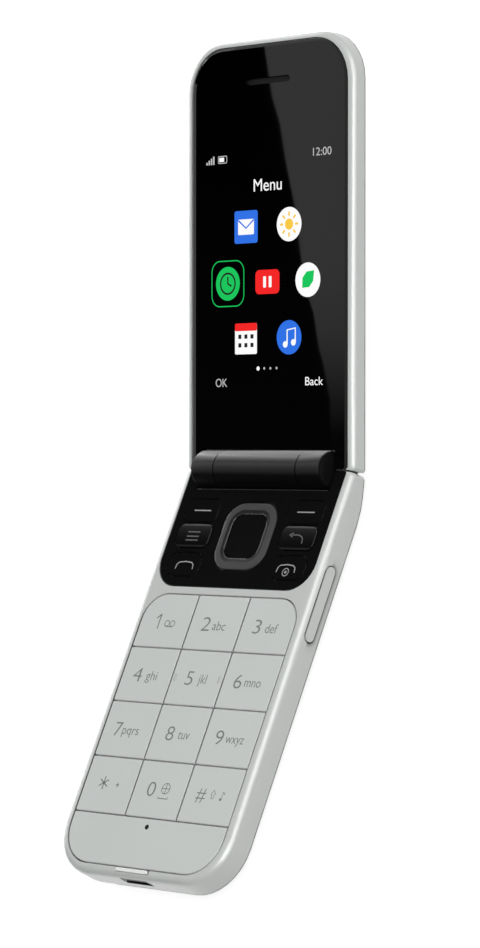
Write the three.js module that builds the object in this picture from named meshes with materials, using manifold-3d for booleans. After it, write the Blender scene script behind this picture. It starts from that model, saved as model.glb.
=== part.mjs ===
// Folding telephone, open: a keypad half that lies on its back and a display half raised on a barrel hinge.
// Millimetres. X runs across the keys, Y from the charging socket to the hinge, Z out of the keypad.
// Each half is drawn in a frame of its own: its origin is on the hinge line at the inner face, Y is the
// distance from the hinge (negative on the keypad half) and Z is zero at the inner face, negative inside.
import * as THREE from "three";
import { mergeVertices } from "three/addons/utils/BufferGeometryUtils.js";
import Module from "manifold-3d";

const wasm = await Module();
wasm.setup();

// Whole phone
const bodyWidth = 54.2;
const keypadReach = 100.3;
const displayReach = 100;
const keypadDepth = 11.2;
const displayDepth = 6.9;
const closedGap = 0.6;
const openDegrees = 154.3;

// Fits
const gap = 0.3;
const splitGap = 0.3;
const overrun = 2;
const wall = 1.4;

// Keypad half casing
const keypadEdge = 1.5;
const keypadCorner = 11.7;
const keypadSide = 6.3;
const keypadSideAtHinge = 4;
const keypadSideCurve = 10.4;
const keypadBackAtHinge = 6.4;
const keypadHingeLeanShare = 0.15;
const keypadBackCurve = 24;
const keypadCrown = 12;

// Display half casing
const displayEdge = 1.3;
const displayCorner = 11.3;
const displaySide = 3.7;
const displayBackAtHinge = 6;
const displayBackCurve = 16;
const displayHingeLeanShare = 0.21;
const displayCrown = 9;
const nearCorner = 0.6;

// Hinge barrel
const barrelRadius = 4.5;
const barrelMargin = 5.8;
const barrelEndRound = 1.2;
const seamAt = 13.35;
const cartridgeRadius = 2.7;
const cartridgeLength = 11.6;
const cartridgeFlat = 2.3;
const stemRadius = 1.1;
const pinRadius = 1.6;
const tubeBore = 0.9;
const capThickness = 1.2;
const tongueRoot = 1.5;
const tongueReach = 7.2;
const tongueThickness = 1.3;
const tongueMargin = 1;

// Control panel
const panelMargin = 2.2;
const panelEndMargin = 5.36;
const panelCorner = 6.7;
const panelThickness = 1.2;
const deckThickness = 0.8;
const ringWidth = 16.6;
const ringHeight = 16.9;
const ringCentre = 16.7;
const ringCorner = 5.2;
const ringInner = 11.6;
const ringInnerCorner = 3;
const ringThickness = 1.2;
const ringProud = 0.12;
const ringBevel = 0.45;
const rockerPlate = 13;
const rockerHole = 6.4;
const rockerThickness = 0.8;
const selectDrop = 0.12;
const selectThickness = 0.75;
const functionKeyMargin = 8;
const functionKeyWidth = 11;
const functionKeyHeight = 5.8;
const functionKeyCorner = 1.6;
const functionKeyProud = 0.25;
const softKeyOffset = 6.3;
const menuKeyOffset = 0.2;
const callKeyOffset = 7.5;
const callKeyCorner = 2.6;
const keyBevel = 0.14;

// Number keys
const crossbar = 2.13;
const keypadEndMargin = 2.414;
const chinHeight = 11.86;
const keypadTopCorner = 6.7;
const keypadEndCorner = 9.1;
const seam = 0.32;
const innerCorner = 0.3;
const keyThickness = 1.3;
const plungerRadius = 2;
const smallPlungerRadius = 1.4;
const plungerEnd = 2.7;
const webThickness = 0.6;
const webMargin = 0.5;
const microphoneOffset = 2.11;
const microphoneHole = 0.5;

// Inside the keypad half
const domeRise = 0.2;
const domeRadius = 2.6;
const sheetThickness = 0.2;
const boardMargin = 1.9;
const boardSetback = 0.8;
const boardThickness = 0.8;
const chassisRoof = 0.5;
const chassisRib = 0.9;
const microphoneRadius = 2;
const microphoneHeight = 1.8;
const batteryMargin = 10.1;
const batteryClearance = 0.6;
const batteryCorner = 1.5;
const cardWidth = 15;
const cardLength = 12;
const cardThickness = 1.4;
const cardStart = 20.5;
const cardSlot = 0.7;
const speakerMargin = 6.1;
const speakerLength = 13;
const speakerSpare = 1.3;
const speakerStart = 15;
const speakerCorner = 2.5;
const speakerSlotCount = 5;
const speakerSlotWidth = 0.9;
const speakerSlotPitch = 1.9;
const speakerSlotLength = 6.5;
const motorSpare = 0.5;
const motorLength = 11;
const motorMargin = 11.6;
const motorStart = 17;

// Sockets, side keys and fastenings
const usbWidth = 7.8;
const usbHeight = 2.3;
const usbDepth = 5.4;
const usbAt = 2.74;
const usbWall = 0.35;
const usbClearance = 0.7;
const usbMouthWidth = 9;
const usbMouthHeight = 2.1;
const usbMouthCorner = 0.7;
const jackRadius = 1.75;
const jackMargin = 13.9;
const jackAt = 3.75;
const jackWidth = 5.8;
const jackHeight = 4.3;
const jackLength = 12;
const notchWidth = 10.8;
const notchLength = 1.2;
const notchDepth = 0.45;
const volumeReach = 31.5;
const volumeLength = 18.2;
const volumeHeight = 2.6;
const sideSlotSlack = 0.2;
const volumeAt = 3.1;
const sideKeyReach = 28;
const sideKeyLength = 9;
const sideKeyProud = 0.35;
const sideKeyThickness = 1.5;
const screwBoss = 2.4;
const screwRoot = 0.25;
const screwShank = 0.8;
const screwHead = 1.6;
const screwHeadHeight = 1;
const screwSeat = 0.8;
const screwTip = 2.3;
const doorNotchWidth = 9;
const doorNotchDepth = 0.8;
const doorNotchAt = 15;

// Display half, front
const glassMargin = 2;
const glassEndMargin = 1.5;
const glassCorner = 10.1;
const glassThickness = 1.3;
const glassProud = 0.15;
const glassBevel = 0.55;
const glassBevelDepth = 0.3;
const shelfThickness = 0.8;
const earpieceMargin = 8.4;
const earpieceSlotWidth = 14.4;
const earpieceSlotHeight = 1.5;
const earpieceWidth = 13.2;
const earpieceHeight = 4.4;
const earpieceThickness = 1.7;
const screenMargin = 2;
const screenStart = 17.5;
const screenEndMargin = 10.6;
const displayBoardThickness = 0.7;
const displayBoardMargin = 3.1;
const displayBoardStart = 20;
const displayBoardEndMargin = 4.1;
const magnetRadius = 2;
const magnetHeight = 2;
const magnetMargin = 2;
const magnetEndMargin = 4;

// Display half, back
const windowWidth = 30;
const windowLength = 34;
const windowStart = 31;
const windowCorner = 4;
const windowThickness = 0.7;
const windowDrop = 0.1;
const windowLedge = 1.6;
const outerScreenWidth = 23;
const outerScreenLength = 24;
const outerScreenThickness = 0.7;
const cameraReach = 12.6;
const cameraBody = 7.6;
const cameraTop = 2.8;
const cameraBarrel = 2.2;
const cameraSpare = 0.2;
const cameraGlassRadius = 4;
const cameraGlassThickness = 0.7;
const flashAt = 9.5;
const flashRadius = 1.7;
const flashHeight = 1.6;

// Places that follow from the sizes: across the phone, along each half, and down through it
const barrelHalf = bodyWidth / 2 - barrelMargin;
const panelHalf = bodyWidth / 2 - panelMargin;
const panelEnd = ringCentre + callKeyOffset + panelEndMargin;
const functionKeyAt = panelHalf - functionKeyMargin;
const keypadTop = panelEnd + crossbar;
const keypadEnd = keypadReach - keypadEndMargin;
const keypadWidth = 2 * panelHalf;
const columnPitch = keypadWidth / 3;
const rowPitch = (keypadEnd - chinHeight - keypadTop) / 4;
const microphoneReach = keypadEnd - chinHeight + microphoneOffset;
const jackReach = keypadReach - jackMargin;
const jackMouth = bodyWidth / 2 - wall - gap;
const socketMouth = keypadReach - wall - gap;
const webStart = keypadTop - wall;
const webEnd = jackReach - jackWidth / 2 - webMargin;
const boardHalf = bodyWidth / 2 - wall - gap - boardMargin;
const boardStart = tongueReach + boardSetback;
const boardEnd = socketMouth - usbDepth - usbClearance;
const batteryWidth = bodyWidth - 2 * batteryMargin;
const batteryStart = cardStart + cardLength + 2 * gap + chassisRib;
const batteryLength = jackReach - jackWidth / 2 - 2 * gap - chassisRib - batteryStart;
const speakerInner = cardWidth / 2 + 2 * gap + chassisRib;
const speakerWidth = bodyWidth / 2 - speakerMargin - speakerInner;
const speakerAt = speakerInner + speakerWidth / 2;
const motorAt = bodyWidth / 2 - motorMargin;
const screwOut = (keypadCorner - wall - screwBoss + screwRoot) * Math.SQRT1_2;
const screwAcross = bodyWidth / 2 - keypadCorner + screwOut;
const screwReach = keypadReach - keypadCorner + screwOut;
const deckTop = panelThickness + gap;
const deckBottom = deckTop + deckThickness;
const webTop = wall + gap;
const sheetTop = plungerEnd + gap + domeRise;
const boardTop = sheetTop + sheetThickness;
const boardBottom = boardTop + boardThickness;
const chassisTop = boardBottom + gap;
const screwHeadAt = chassisTop + screwSeat + gap;
const batteryTop = chassisTop + chassisRoof + gap;
const batteryThickness = keypadDepth - wall - batteryTop - batteryClearance;
const speakerThickness = batteryThickness - speakerSpare;
const motorRadius = (batteryThickness - motorSpare) / 2;
const tongueDepth = deckBottom + 2 * gap;
const glassHalf = bodyWidth / 2 - glassMargin;
const glassEnd = displayReach - glassEndMargin;
const earpieceReach = glassEnd - earpieceMargin;
const screenWidth = 2 * (glassHalf - screenMargin);
const screenLength = earpieceReach - screenEndMargin - screenStart;
const displayBoardWidth = screenWidth - 2 * displayBoardMargin;
const displayBoardLength = earpieceReach - displayBoardEndMargin - displayBoardStart;
const magnetAt = displayBoardWidth / 2 - magnetMargin;
const magnetReach = displayBoardStart + displayBoardLength - magnetEndMargin;
const shelfTop = glassThickness + gap;
const shelfBottom = shelfTop + shelfThickness;
const outerScreenTop = displayDepth - wall - gap - outerScreenThickness;
const displayBoardTop = outerScreenTop - gap - displayBoardThickness;
const screenThickness = displayBoardTop - gap - shelfTop - windowDrop;
const cameraSeat = displayDepth - wall - gap - cameraSpare;

// Facets
const cornerSteps = 8;
const smallCornerSteps = 3;
const crownSteps = 5;
const edgeSteps = 3;
const barrelEndSteps = 2;
const roundSteps = 36;
const jacketSteps = 22;
const smallRoundSteps = 12;
const domeSteps = 6;
const quarterTurn = Math.PI / 2;
const crownStart = Math.PI / 4;
const sideShares = [0, 0.06, 0.15, 0.28, 0.45, 0.7, 1];

function finish(color, roughness, metalness) {
  return new THREE.MeshStandardMaterial({ color, roughness, metalness });
}

const silver = finish(0xc3c6c4, 0.42, 0.15);
const keySilver = finish(0xc1c4c2, 0.5, 0.05);
const glossBlack = finish(0x121212, 0.12, 0);
const ringGrey = finish(0x4a4a4a, 0.25, 0.3);
const glassBlack = finish(0x050505, 0.05, 0);
const innerPlastic = finish(0x2b2c2d, 0.6, 0);
const bareSteel = finish(0xa8a9aa, 0.3, 1);
const boardGreen = finish(0x1f4a35, 0.5, 0.1);
const foilGold = finish(0xb98b3a, 0.4, 0.5);
const cellGrey = finish(0x50545a, 0.5, 0.1);
const clearLens = finish(0xe8e4d0, 0.1, 0);

// A closed triangle mesh becomes a solid, turned outside out if its triangles face inwards.
function toSolid(geometry) {
  const bare = new THREE.BufferGeometry();
  bare.setAttribute("position", geometry.getAttribute("position"));
  bare.setIndex(geometry.getIndex());
  const merged = mergeVertices(bare);
  const places = merged.getAttribute("position");
  const corners = Array.from(merged.getIndex().array);
  const a = new THREE.Vector3();
  const b = new THREE.Vector3();
  const c = new THREE.Vector3();
  const triangles = [];
  let volume = 0;
  for (let at = 0; at < corners.length; at += 3) {
    const [i, j, k] = corners.slice(at, at + 3);
    if (i === j || j === k || k === i) continue;
    a.fromBufferAttribute(places, i);
    b.fromBufferAttribute(places, j);
    c.fromBufferAttribute(places, k);
    volume += a.dot(b.cross(c));
    triangles.push([i, j, k]);
  }
  const facing = volume < 0 ? triangles.map(([i, j, k]) => [i, k, j]) : triangles;
  return new wasm.Manifold(new wasm.Mesh({
    numProp: 3,
    vertProperties: new Float32Array(places.array),
    triVerts: new Uint32Array(facing.flat()),
  }));
}

function addPiece(group, name, solid, material) {
  const { vertProperties, triVerts } = solid.getMesh();
  const geometry = new THREE.BufferGeometry();
  geometry.setAttribute("position", new THREE.BufferAttribute(vertProperties, 3));
  geometry.setIndex(new THREE.BufferAttribute(triVerts, 1));
  geometry.computeVertexNormals();
  const mesh = new THREE.Mesh(geometry, material);
  mesh.name = name;
  group.add(mesh);
}

// Outlines and plain solids

// A rectangle about a centre; radii are for its corners at +X+Y, -X+Y, -X-Y and +X-Y.
function roundedOutline(centreX, centreY, width, length, radii) {
  const [first, second, third, fourth] = Array.isArray(radii) ? radii : [radii, radii, radii, radii];
  const turns = [
    [1, 1, first, 0],
    [-1, 1, second, quarterTurn],
    [-1, -1, third, 2 * quarterTurn],
    [1, -1, fourth, 3 * quarterTurn],
  ];
  const points = [];
  for (const [signX, signY, radius, start] of turns) {
    const x = centreX + signX * (width / 2 - radius);
    const y = centreY + signY * (length / 2 - radius);
    const steps = radius > barrelRadius ? cornerSteps : smallCornerSteps;
    for (let step = 0; step <= steps; step += 1) {
      const angle = start + quarterTurn * step / steps;
      points.push(new THREE.Vector2(x + radius * Math.cos(angle), y + radius * Math.sin(angle)));
    }
  }
  return points;
}

function prism(points, low, high) {
  const shape = new THREE.Shape(points);
  const geometry = new THREE.ExtrudeGeometry(shape, { depth: high - low, bevelEnabled: false });
  return toSolid(geometry.translate(0, 0, low));
}

// A prism with its top and bottom edges cut back by a bevel.
function bevelledPrism(points, low, high, bevel) {
  const geometry = new THREE.ExtrudeGeometry(new THREE.Shape(points), {
    depth: high - low - 2 * bevel,
    bevelThickness: bevel,
    bevelSize: bevel,
    bevelOffset: -bevel,
    bevelSegments: 1,
  });
  return toSolid(geometry.translate(0, 0, low + bevel));
}

function block(centreX, centreY, width, length, low, high) {
  const geometry = new THREE.BoxGeometry(width, length, high - low);
  return toSolid(geometry.translate(centreX, centreY, (low + high) / 2));
}

function post(x, y, radius, low, high, sides = smallRoundSteps) {
  const geometry = new THREE.CylinderGeometry(radius, radius, high - low, sides).rotateX(quarterTurn);
  return toSolid(geometry.translate(x, y, (low + high) / 2));
}

// A round bar along X, at a place in the hinge line's own frame.
function bar(radius, from, to, y, z, sides = smallRoundSteps) {
  const geometry = new THREE.CylinderGeometry(radius, radius, to - from, sides).rotateZ(quarterTurn);
  return toSolid(geometry.translate((from + to) / 2, y, z));
}

// A bar along X whose far end is rounded over all the way round.
function roundEndedBar(radius, from, to, round, y, z) {
  const profile = [new THREE.Vector2(0, from), new THREE.Vector2(radius, from)];
  for (let step = 0; step <= barrelEndSteps; step += 1) {
    const angle = quarterTurn * step / barrelEndSteps;
    profile.push(new THREE.Vector2(radius - round * (1 - Math.cos(angle)), to - round * (1 - Math.sin(angle))));
  }
  profile.push(new THREE.Vector2(0, to));
  const geometry = new THREE.LatheGeometry(profile, roundSteps).rotateZ(-quarterTurn);
  return toSolid(geometry.translate(0, y, z));
}

// A ring that is the same left and right, from the hinge end round the far corners and back.
function symmetricRing(acrossHalf, near, far, radius, stations, direction, height) {
  const right = [[acrossHalf - nearCorner, near]];
  for (const station of stations) right.push([acrossHalf, near + nearCorner + station]);
  for (let step = 0; step <= cornerSteps; step += 1) {
    const angle = quarterTurn * step / cornerSteps;
    right.push([acrossHalf - radius + radius * Math.cos(angle), far - radius + radius * Math.sin(angle)]);
  }
  const left = right.map(([x, reach]) => [-x, reach]).reverse();
  return [...right, ...left].map(([x, reach]) => new THREE.Vector3(x, direction * reach, height(reach)));
}

// Symmetric rings of equal count, skinned one to the next and closed at both ends by strips along X.
function loft(rings) {
  const count = rings[0].length;
  const points = rings.flat();
  const triangles = [];
  const last = (rings.length - 1) * count;
  for (let ring = 0; ring + 1 < rings.length; ring += 1) {
    for (let at = 0; at < count; at += 1) {
      const next = (at + 1) % count;
      const a = ring * count + at;
      const b = ring * count + next;
      triangles.push([a, b, b + count], [a, b + count, a + count]);
    }
  }
  for (let right = 0; right + 1 < count / 2; right += 1) {
    const left = count - 1 - right;
    triangles.push([right, left - 1, right + 1], [right, left, left - 1]);
    triangles.push([last + right, last + right + 1, last + left - 1], [last + right, last + left - 1, last + left]);
  }
  const geometry = new THREE.BufferGeometry();
  geometry.setAttribute("position", new THREE.Float32BufferAttribute(points.flatMap((p) => p.toArray()), 3));
  geometry.setIndex(triangles.flat());
  return toSolid(geometry);
}

// The casing's form: flat inner face, rounded edge, straight side wall and a crowned back

const keypadHalf = {
  direction: -1,
  reach: keypadReach,
  depth: keypadDepth,
  edge: keypadEdge,
  corner: keypadCorner,
  side: keypadSide,
  sideAtHinge: keypadSideAtHinge,
  sideCurve: keypadSideCurve,
  backAtHinge: keypadBackAtHinge,
  backCurve: keypadBackCurve,
  hingeLeanShare: keypadHingeLeanShare,
  crown: keypadCrown,
};
const displayHalf = {
  direction: 1,
  reach: displayReach,
  depth: displayDepth,
  edge: displayEdge,
  corner: displayCorner,
  side: displaySide,
  sideAtHinge: displaySide,
  sideCurve: displayBackCurve,
  backAtHinge: displayBackAtHinge,
  backCurve: displayBackCurve,
  hingeLeanShare: displayHingeLeanShare,
  crown: displayCrown,
};

function eased(start, end, share) {
  return start + (end - start) * Math.sin(quarterTurn * Math.min(1, share));
}

function sideDepth(half, reach) {
  return eased(half.sideAtHinge, half.side, (reach - splitGap / 2) / half.sideCurve);
}

function backDepth(half, reach) {
  return eased(half.backAtHinge, half.depth, (reach - splitGap / 2) / half.backCurve);
}

// One ring of the casing, drawn in from its widest outline; height gives Z at a distance from the hinge.
// The hinge end leans out below the face, so that the open halves nearly meet behind the barrel.
function casingRing(half, inset, hingeInset, height) {
  const lean = half.hingeLeanShare * Math.min(-height(splitGap / 2), half.sideAtHinge);
  const near = splitGap / 2 + hingeInset - lean;
  const radius = Math.max(half.corner - inset, nearCorner);
  const stations = sideShares.map((share) => share * half.backCurve);
  return symmetricRing(bodyWidth / 2 - inset, near, half.reach - inset, radius, stations, half.direction, height);
}

// The upper shell's outside: face, edge round and side wall, down to the parting line.
function frameForm(half) {
  const rings = [];
  for (let step = 0; step <= edgeSteps; step += 1) {
    const angle = quarterTurn * step / edgeSteps;
    const inset = half.edge * (1 - Math.sin(angle));
    rings.push(casingRing(half, inset, 0, () => -half.edge * (1 - Math.cos(angle))));
  }
  const parting = (reach) => -sideDepth(half, reach);
  rings.push(casingRing(half, 0, 0, parting), casingRing(half, wall + gap, wall + gap, parting));
  return loft(rings);
}

// The crowned lower form, from a rim at or above the parting line; shrink draws it in by a wall.
function crownForm(half, shrink, rim) {
  const rings = [casingRing(half, shrink, shrink, rim)];
  for (let step = 0; step <= crownSteps; step += 1) {
    const angle = crownStart + (quarterTurn - crownStart) * step / crownSteps;
    const inward = 1 - Math.cos(angle) / Math.cos(crownStart);
    const downward = (Math.sin(angle) - Math.sin(crownStart)) / (1 - Math.sin(crownStart));
    const height = (reach) => {
      const side = sideDepth(half, reach) + gap;
      return -(side + (backDepth(half, reach) - shrink - side) * downward);
    };
    rings.push(casingRing(half, shrink + half.crown * inward, shrink, height));
  }
  return loft(rings);
}

// The room inside a half's shells, below a ceiling, with solid material left round the barrel's trough.
function cavity(half, ceiling) {
  const room = crownForm(half, wall, () => -ceiling);
  const jacketRadius = barrelRadius + gap + wall;
  const jacket = bar(jacketRadius, -barrelHalf - gap - wall, barrelHalf + gap + wall, 0, closedGap / 2, jacketSteps);
  return room.subtract(jacket);
}

function trough() {
  return bar(barrelRadius + gap, -barrelHalf - gap, barrelHalf + gap, 0, closedGap / 2, roundSteps);
}

// A knuckle's root: a flat tongue that runs from the barrel into its own half.
function tongue(half, from, to, clearance) {
  const low = tongueRoot;
  const high = tongueReach + clearance;
  return block(
    (from + to) / 2,
    half.direction * (low + high) / 2,
    to - from + 2 * clearance,
    high - low,
    -tongueDepth - tongueThickness - clearance,
    -tongueDepth + clearance,
  );
}

function mirrored(solid) {
  return solid.mirror([1, 0, 0]);
}

// Keypad half

const keypad = new THREE.Group();
keypad.position.set(0, keypadReach / 2, keypadDepth);
const knuckleFrom = seamAt + gap / 2;
const endTongueFrom = knuckleFrom + tongueMargin;
const endTongueTo = barrelHalf - tongueMargin;

function keyOutline(x, reach, width, height, corner, clearance) {
  return roundedOutline(x, -reach, width + 2 * clearance, height + 2 * clearance, corner + clearance);
}

const functionKeys = [
  { names: ["left_soft_key", "right_soft_key"], offset: -softKeyOffset, corner: functionKeyCorner, proud: 0 },
  { names: ["menu_key", "back_key"], offset: menuKeyOffset, corner: functionKeyCorner, proud: functionKeyProud },
  { names: ["call_key", "end_key"], offset: callKeyOffset, corner: callKeyCorner, proud: 0 },
];

function panelOutline(clearance) {
  const near = splitGap / 2;
  const corner = panelCorner + clearance;
  const length = panelEnd - near + clearance;
  const centre = -(near + length / 2);
  return roundedOutline(0, centre, 2 * (panelHalf + clearance), length, [innerCorner, innerCorner, corner, corner]);
}

function keypadOutline(clearance) {
  const top = keypadTopCorner + clearance;
  const end = keypadEndCorner + clearance;
  const centre = -(keypadTop + keypadEnd) / 2;
  const length = keypadEnd - keypadTop + 2 * clearance;
  return roundedOutline(0, centre, keypadWidth + 2 * clearance, length, [top, top, end, end]);
}

// A slot through a side wall, long along Y with round ends.
function sideSlot(side, reach, length, height, depthAt, from, to, clearance) {
  const outline = roundedOutline(0, 0, length + 2 * clearance, height + 2 * clearance, height / 2 + clearance);
  const slot = prism(outline, from, to);
  return slot.rotate([90, 0, 90]).translate([0, -reach, -depthAt]).scale([side, 1, 1]);
}

function frontCover() {
  const face = prism(panelOutline(gap), -deckTop, overrun);
  const keys = prism(keypadOutline(seam - gap / 2), -deckBottom - overrun, overrun);
  const room = cavity(keypadHalf, wall);
  const underDeck = block(0, -panelEnd / 2, bodyWidth, panelEnd + 2 * gap, -deckBottom, overrun);
  let cover = frameForm(keypadHalf).subtract(room.subtract(underDeck)).subtract(face).subtract(keys);
  for (const { offset } of functionKeys) {
    for (const side of [-1, 1]) {
      const reach = ringCentre + offset;
      const hole = post(side * functionKeyAt, -reach, smallPlungerRadius + gap, -deckBottom - overrun, overrun);
      cover = cover.subtract(hole);
    }
  }
  const plate = rockerPlate + 2 * gap;
  cover = cover.subtract(prism(roundedOutline(0, -ringCentre, plate, plate, ringInnerCorner), -deckBottom - overrun, overrun));
  cover = cover.subtract(trough());
  const root = tongue(keypadHalf, endTongueFrom, endTongueTo, gap);
  cover = cover.subtract(root).subtract(mirrored(root));
  const inner = bodyWidth / 2 - wall - overrun;
  const outer = bodyWidth / 2 + overrun;
  const slotHeight = volumeHeight + sideSlotSlack;
  const slotAt = volumeAt + sideSlotSlack / 2;
  cover = cover.subtract(sideSlot(1, volumeReach, volumeLength, slotHeight, slotAt, inner, outer, gap));
  cover = cover.subtract(sideSlot(-1, sideKeyReach, sideKeyLength, slotHeight, slotAt, inner, outer, gap));
  cover = cover.subtract(bar(jackRadius, -outer, -inner, -jackReach, -jackAt));
  const mouth = roundedOutline(0, -usbAt, usbMouthWidth, usbMouthHeight, usbMouthCorner);
  const socketHole = prism(mouth, keypadReach - wall - overrun, keypadReach + overrun);
  cover = cover.subtract(socketHole.rotate([90, 0, 0]));
  const notchEnd = keypadEnd + notchLength;
  cover = cover.subtract(block(0, -(keypadEnd - seam + notchEnd) / 2, notchWidth, notchLength + seam, -notchDepth, overrun));
  for (const side of [-1, 1]) {
    const boss = post(side * screwAcross, -screwReach, screwBoss, -boardBottom, -webTop);
    const bore = post(side * screwAcross, -screwReach, screwShank + gap, -boardBottom - overrun, -screwTip + gap);
    cover = cover.add(boss).subtract(bore);
  }
  return cover;
}

function controlPanel() {
  let panel = prism(panelOutline(0), -panelThickness, 0).subtract(trough());
  for (const { offset, corner } of functionKeys) {
    for (const side of [-1, 1]) {
      const x = side * functionKeyAt;
      const outline = keyOutline(x, ringCentre + offset, functionKeyWidth, functionKeyHeight, corner, gap);
      panel = panel.subtract(prism(outline, -panelThickness - overrun, overrun));
    }
  }
  const ringHole = keyOutline(0, ringCentre, ringWidth, ringHeight, ringCorner, gap);
  return panel.subtract(prism(ringHole, -panelThickness - overrun, overrun));
}

function functionKey(side, { offset, corner, proud }) {
  const x = side * functionKeyAt;
  const reach = ringCentre + offset;
  const outline = keyOutline(x, reach, functionKeyWidth, functionKeyHeight, corner, 0);
  const cap = bevelledPrism(outline, -panelThickness, proud, keyBevel);
  return cap.add(post(x, -reach, smallPlungerRadius, -plungerEnd, -panelThickness + keyBevel));
}

function navigationRing() {
  const low = ringProud - ringThickness;
  const outside = keyOutline(0, ringCentre, ringWidth, ringHeight, ringCorner, 0);
  const geometry = new THREE.ExtrudeGeometry(new THREE.Shape(outside), {
    depth: ringThickness - ringBevel,
    bevelThickness: ringBevel,
    bevelSize: ringBevel,
    bevelOffset: -ringBevel,
    bevelSegments: 2,
  });
  const inside = roundedOutline(0, -ringCentre, ringInner, ringInner, ringInnerCorner);
  const body = toSolid(geometry.translate(0, 0, low));
  const trimmed = body.subtract(block(0, -ringCentre, bodyWidth, bodyWidth, low - overrun, low));
  return trimmed.subtract(prism(inside, low - overrun, overrun));
}

function rocker() {
  const top = ringProud - ringThickness - gap;
  const plate = prism(roundedOutline(0, -ringCentre, rockerPlate, rockerPlate, ringInnerCorner), top - rockerThickness, top);
  return plate.subtract(prism(roundedOutline(0, -ringCentre, rockerHole, rockerHole, nearCorner), top - overrun, overrun));
}

function selectKey() {
  const size = ringInner - 2 * gap;
  const outline = roundedOutline(0, -ringCentre, size, size, ringInnerCorner - gap);
  const low = -selectDrop - selectThickness;
  const cap = bevelledPrism(outline, low, -selectDrop, keyBevel);
  return cap.add(post(0, -ringCentre, plungerRadius, -plungerEnd, low + keyBevel));
}

// A number key fills its cell of the keypad, less half a seam on the sides that meet another key.
function numberKey(column, row) {
  const corner = Math.max(keypadTopCorner - seam / 2, innerCorner);
  const radii = [innerCorner, innerCorner, innerCorner, innerCorner];
  if (row === 0 && column === 2) radii[0] = corner;
  if (row === 0 && column === 0) radii[1] = corner;
  const x = (column - 1) * columnPitch;
  const reach = keypadTop + (row + 0.5) * rowPitch;
  const outline = roundedOutline(x, -reach, columnPitch - seam, rowPitch - seam, radii);
  const cap = bevelledPrism(outline, -keyThickness, 0, keyBevel);
  return cap.add(post(x, -reach, plungerRadius, -plungerEnd, -keyThickness + keyBevel));
}

function chinPanel() {
  const end = keypadEndCorner - seam / 2;
  const centre = -(keypadEnd - chinHeight / 2);
  const radii = [innerCorner, innerCorner, end, end];
  const outline = roundedOutline(0, centre, keypadWidth - seam, chinHeight - seam, radii);
  const panel = bevelledPrism(outline, -keyThickness, 0, keyBevel);
  return panel.subtract(post(0, -microphoneReach, microphoneHole, -keyThickness - overrun, overrun));
}

function plungerPlaces() {
  const places = [];
  for (let row = 0; row < 4; row += 1) {
    for (let column = 0; column < 3; column += 1) {
      places.push([(column - 1) * columnPitch, keypadTop + (row + 0.5) * rowPitch]);
    }
  }
  return places;
}

function keypadWeb() {
  const width = bodyWidth - 2 * (wall + gap);
  const outline = roundedOutline(0, -(webStart + webEnd) / 2, width, webEnd - webStart, innerCorner);
  let web = prism(outline, -webTop - webThickness, -webTop);
  for (const [x, reach] of plungerPlaces()) {
    web = web.subtract(post(x, -reach, plungerRadius + gap, -webTop - webThickness - overrun, overrun));
  }
  const volumeClear = bodyWidth / 2 - sideKeyThickness - wall;
  const slotLength = volumeLength + 2 * gap;
  return web.subtract(block(volumeClear + overrun, -volumeReach, 2 * overrun, slotLength, -boardTop, overrun));
}

function domeSheet() {
  const centre = -(boardStart + webEnd) / 2;
  const outline = roundedOutline(0, centre, 2 * (boardHalf - gap), webEnd - boardStart, innerCorner);
  let sheet = prism(outline, -boardTop, -sheetTop);
  const places = [...plungerPlaces(), [0, ringCentre]];
  for (const { offset } of functionKeys) {
    places.push([-functionKeyAt, ringCentre + offset], [functionKeyAt, ringCentre + offset]);
  }
  for (const [x, reach] of places) {
    const dome = new THREE.CylinderGeometry(domeRadius / 2, domeRadius, domeRise, domeSteps).rotateX(quarterTurn);
    sheet = sheet.add(toSolid(dome.translate(x, -reach, -sheetTop + domeRise / 2)));
  }
  return sheet;
}

function mainBoard() {
  const outline = roundedOutline(0, -(boardStart + boardEnd) / 2, 2 * boardHalf, boardEnd - boardStart, nearCorner);
  let board = prism(outline, -boardBottom, -boardTop).subtract(jackBody(gap));
  for (const side of [-1, 1]) {
    board = board.subtract(post(side * screwAcross, -screwReach, screwBoss + gap, -boardBottom - overrun, overrun));
  }
  return board;
}

function batteryBox(clearance) {
  const outline = roundedOutline(
    0,
    -(batteryStart + batteryLength / 2),
    batteryWidth + 2 * clearance,
    batteryLength + 2 * clearance,
    batteryCorner + clearance,
  );
  const low = -batteryTop - batteryThickness;
  return prism(outline, clearance > 0 ? low - overrun : low, -batteryTop + clearance);
}

function cardBox(clearance) {
  const low = -batteryTop - cardThickness;
  const centre = -(cardStart + cardLength / 2);
  return block(
    0,
    centre,
    cardWidth + 2 * clearance,
    cardLength + 2 * clearance,
    clearance > 0 ? -keypadDepth : low,
    -batteryTop + clearance,
  );
}

function speakerBox(clearance) {
  const outline = roundedOutline(
    -speakerAt,
    -(speakerStart + speakerLength / 2),
    speakerWidth + 2 * clearance,
    speakerLength + 2 * clearance,
    speakerCorner + clearance,
  );
  const low = -batteryTop - speakerThickness;
  return prism(outline, clearance > 0 ? -keypadDepth : low, -batteryTop + clearance);
}

function motor(clearance) {
  const radius = motorRadius + clearance;
  const length = motorLength + 2 * clearance;
  const centre = -(motorStart + motorLength / 2);
  const can = new THREE.CylinderGeometry(radius, radius, length, smallRoundSteps);
  const round = toSolid(can.translate(motorAt, centre, -batteryTop - motorRadius));
  if (clearance === 0) return round;
  return round.add(block(motorAt, centre, 2 * radius, length, -keypadDepth, -batteryTop - motorRadius));
}

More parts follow.
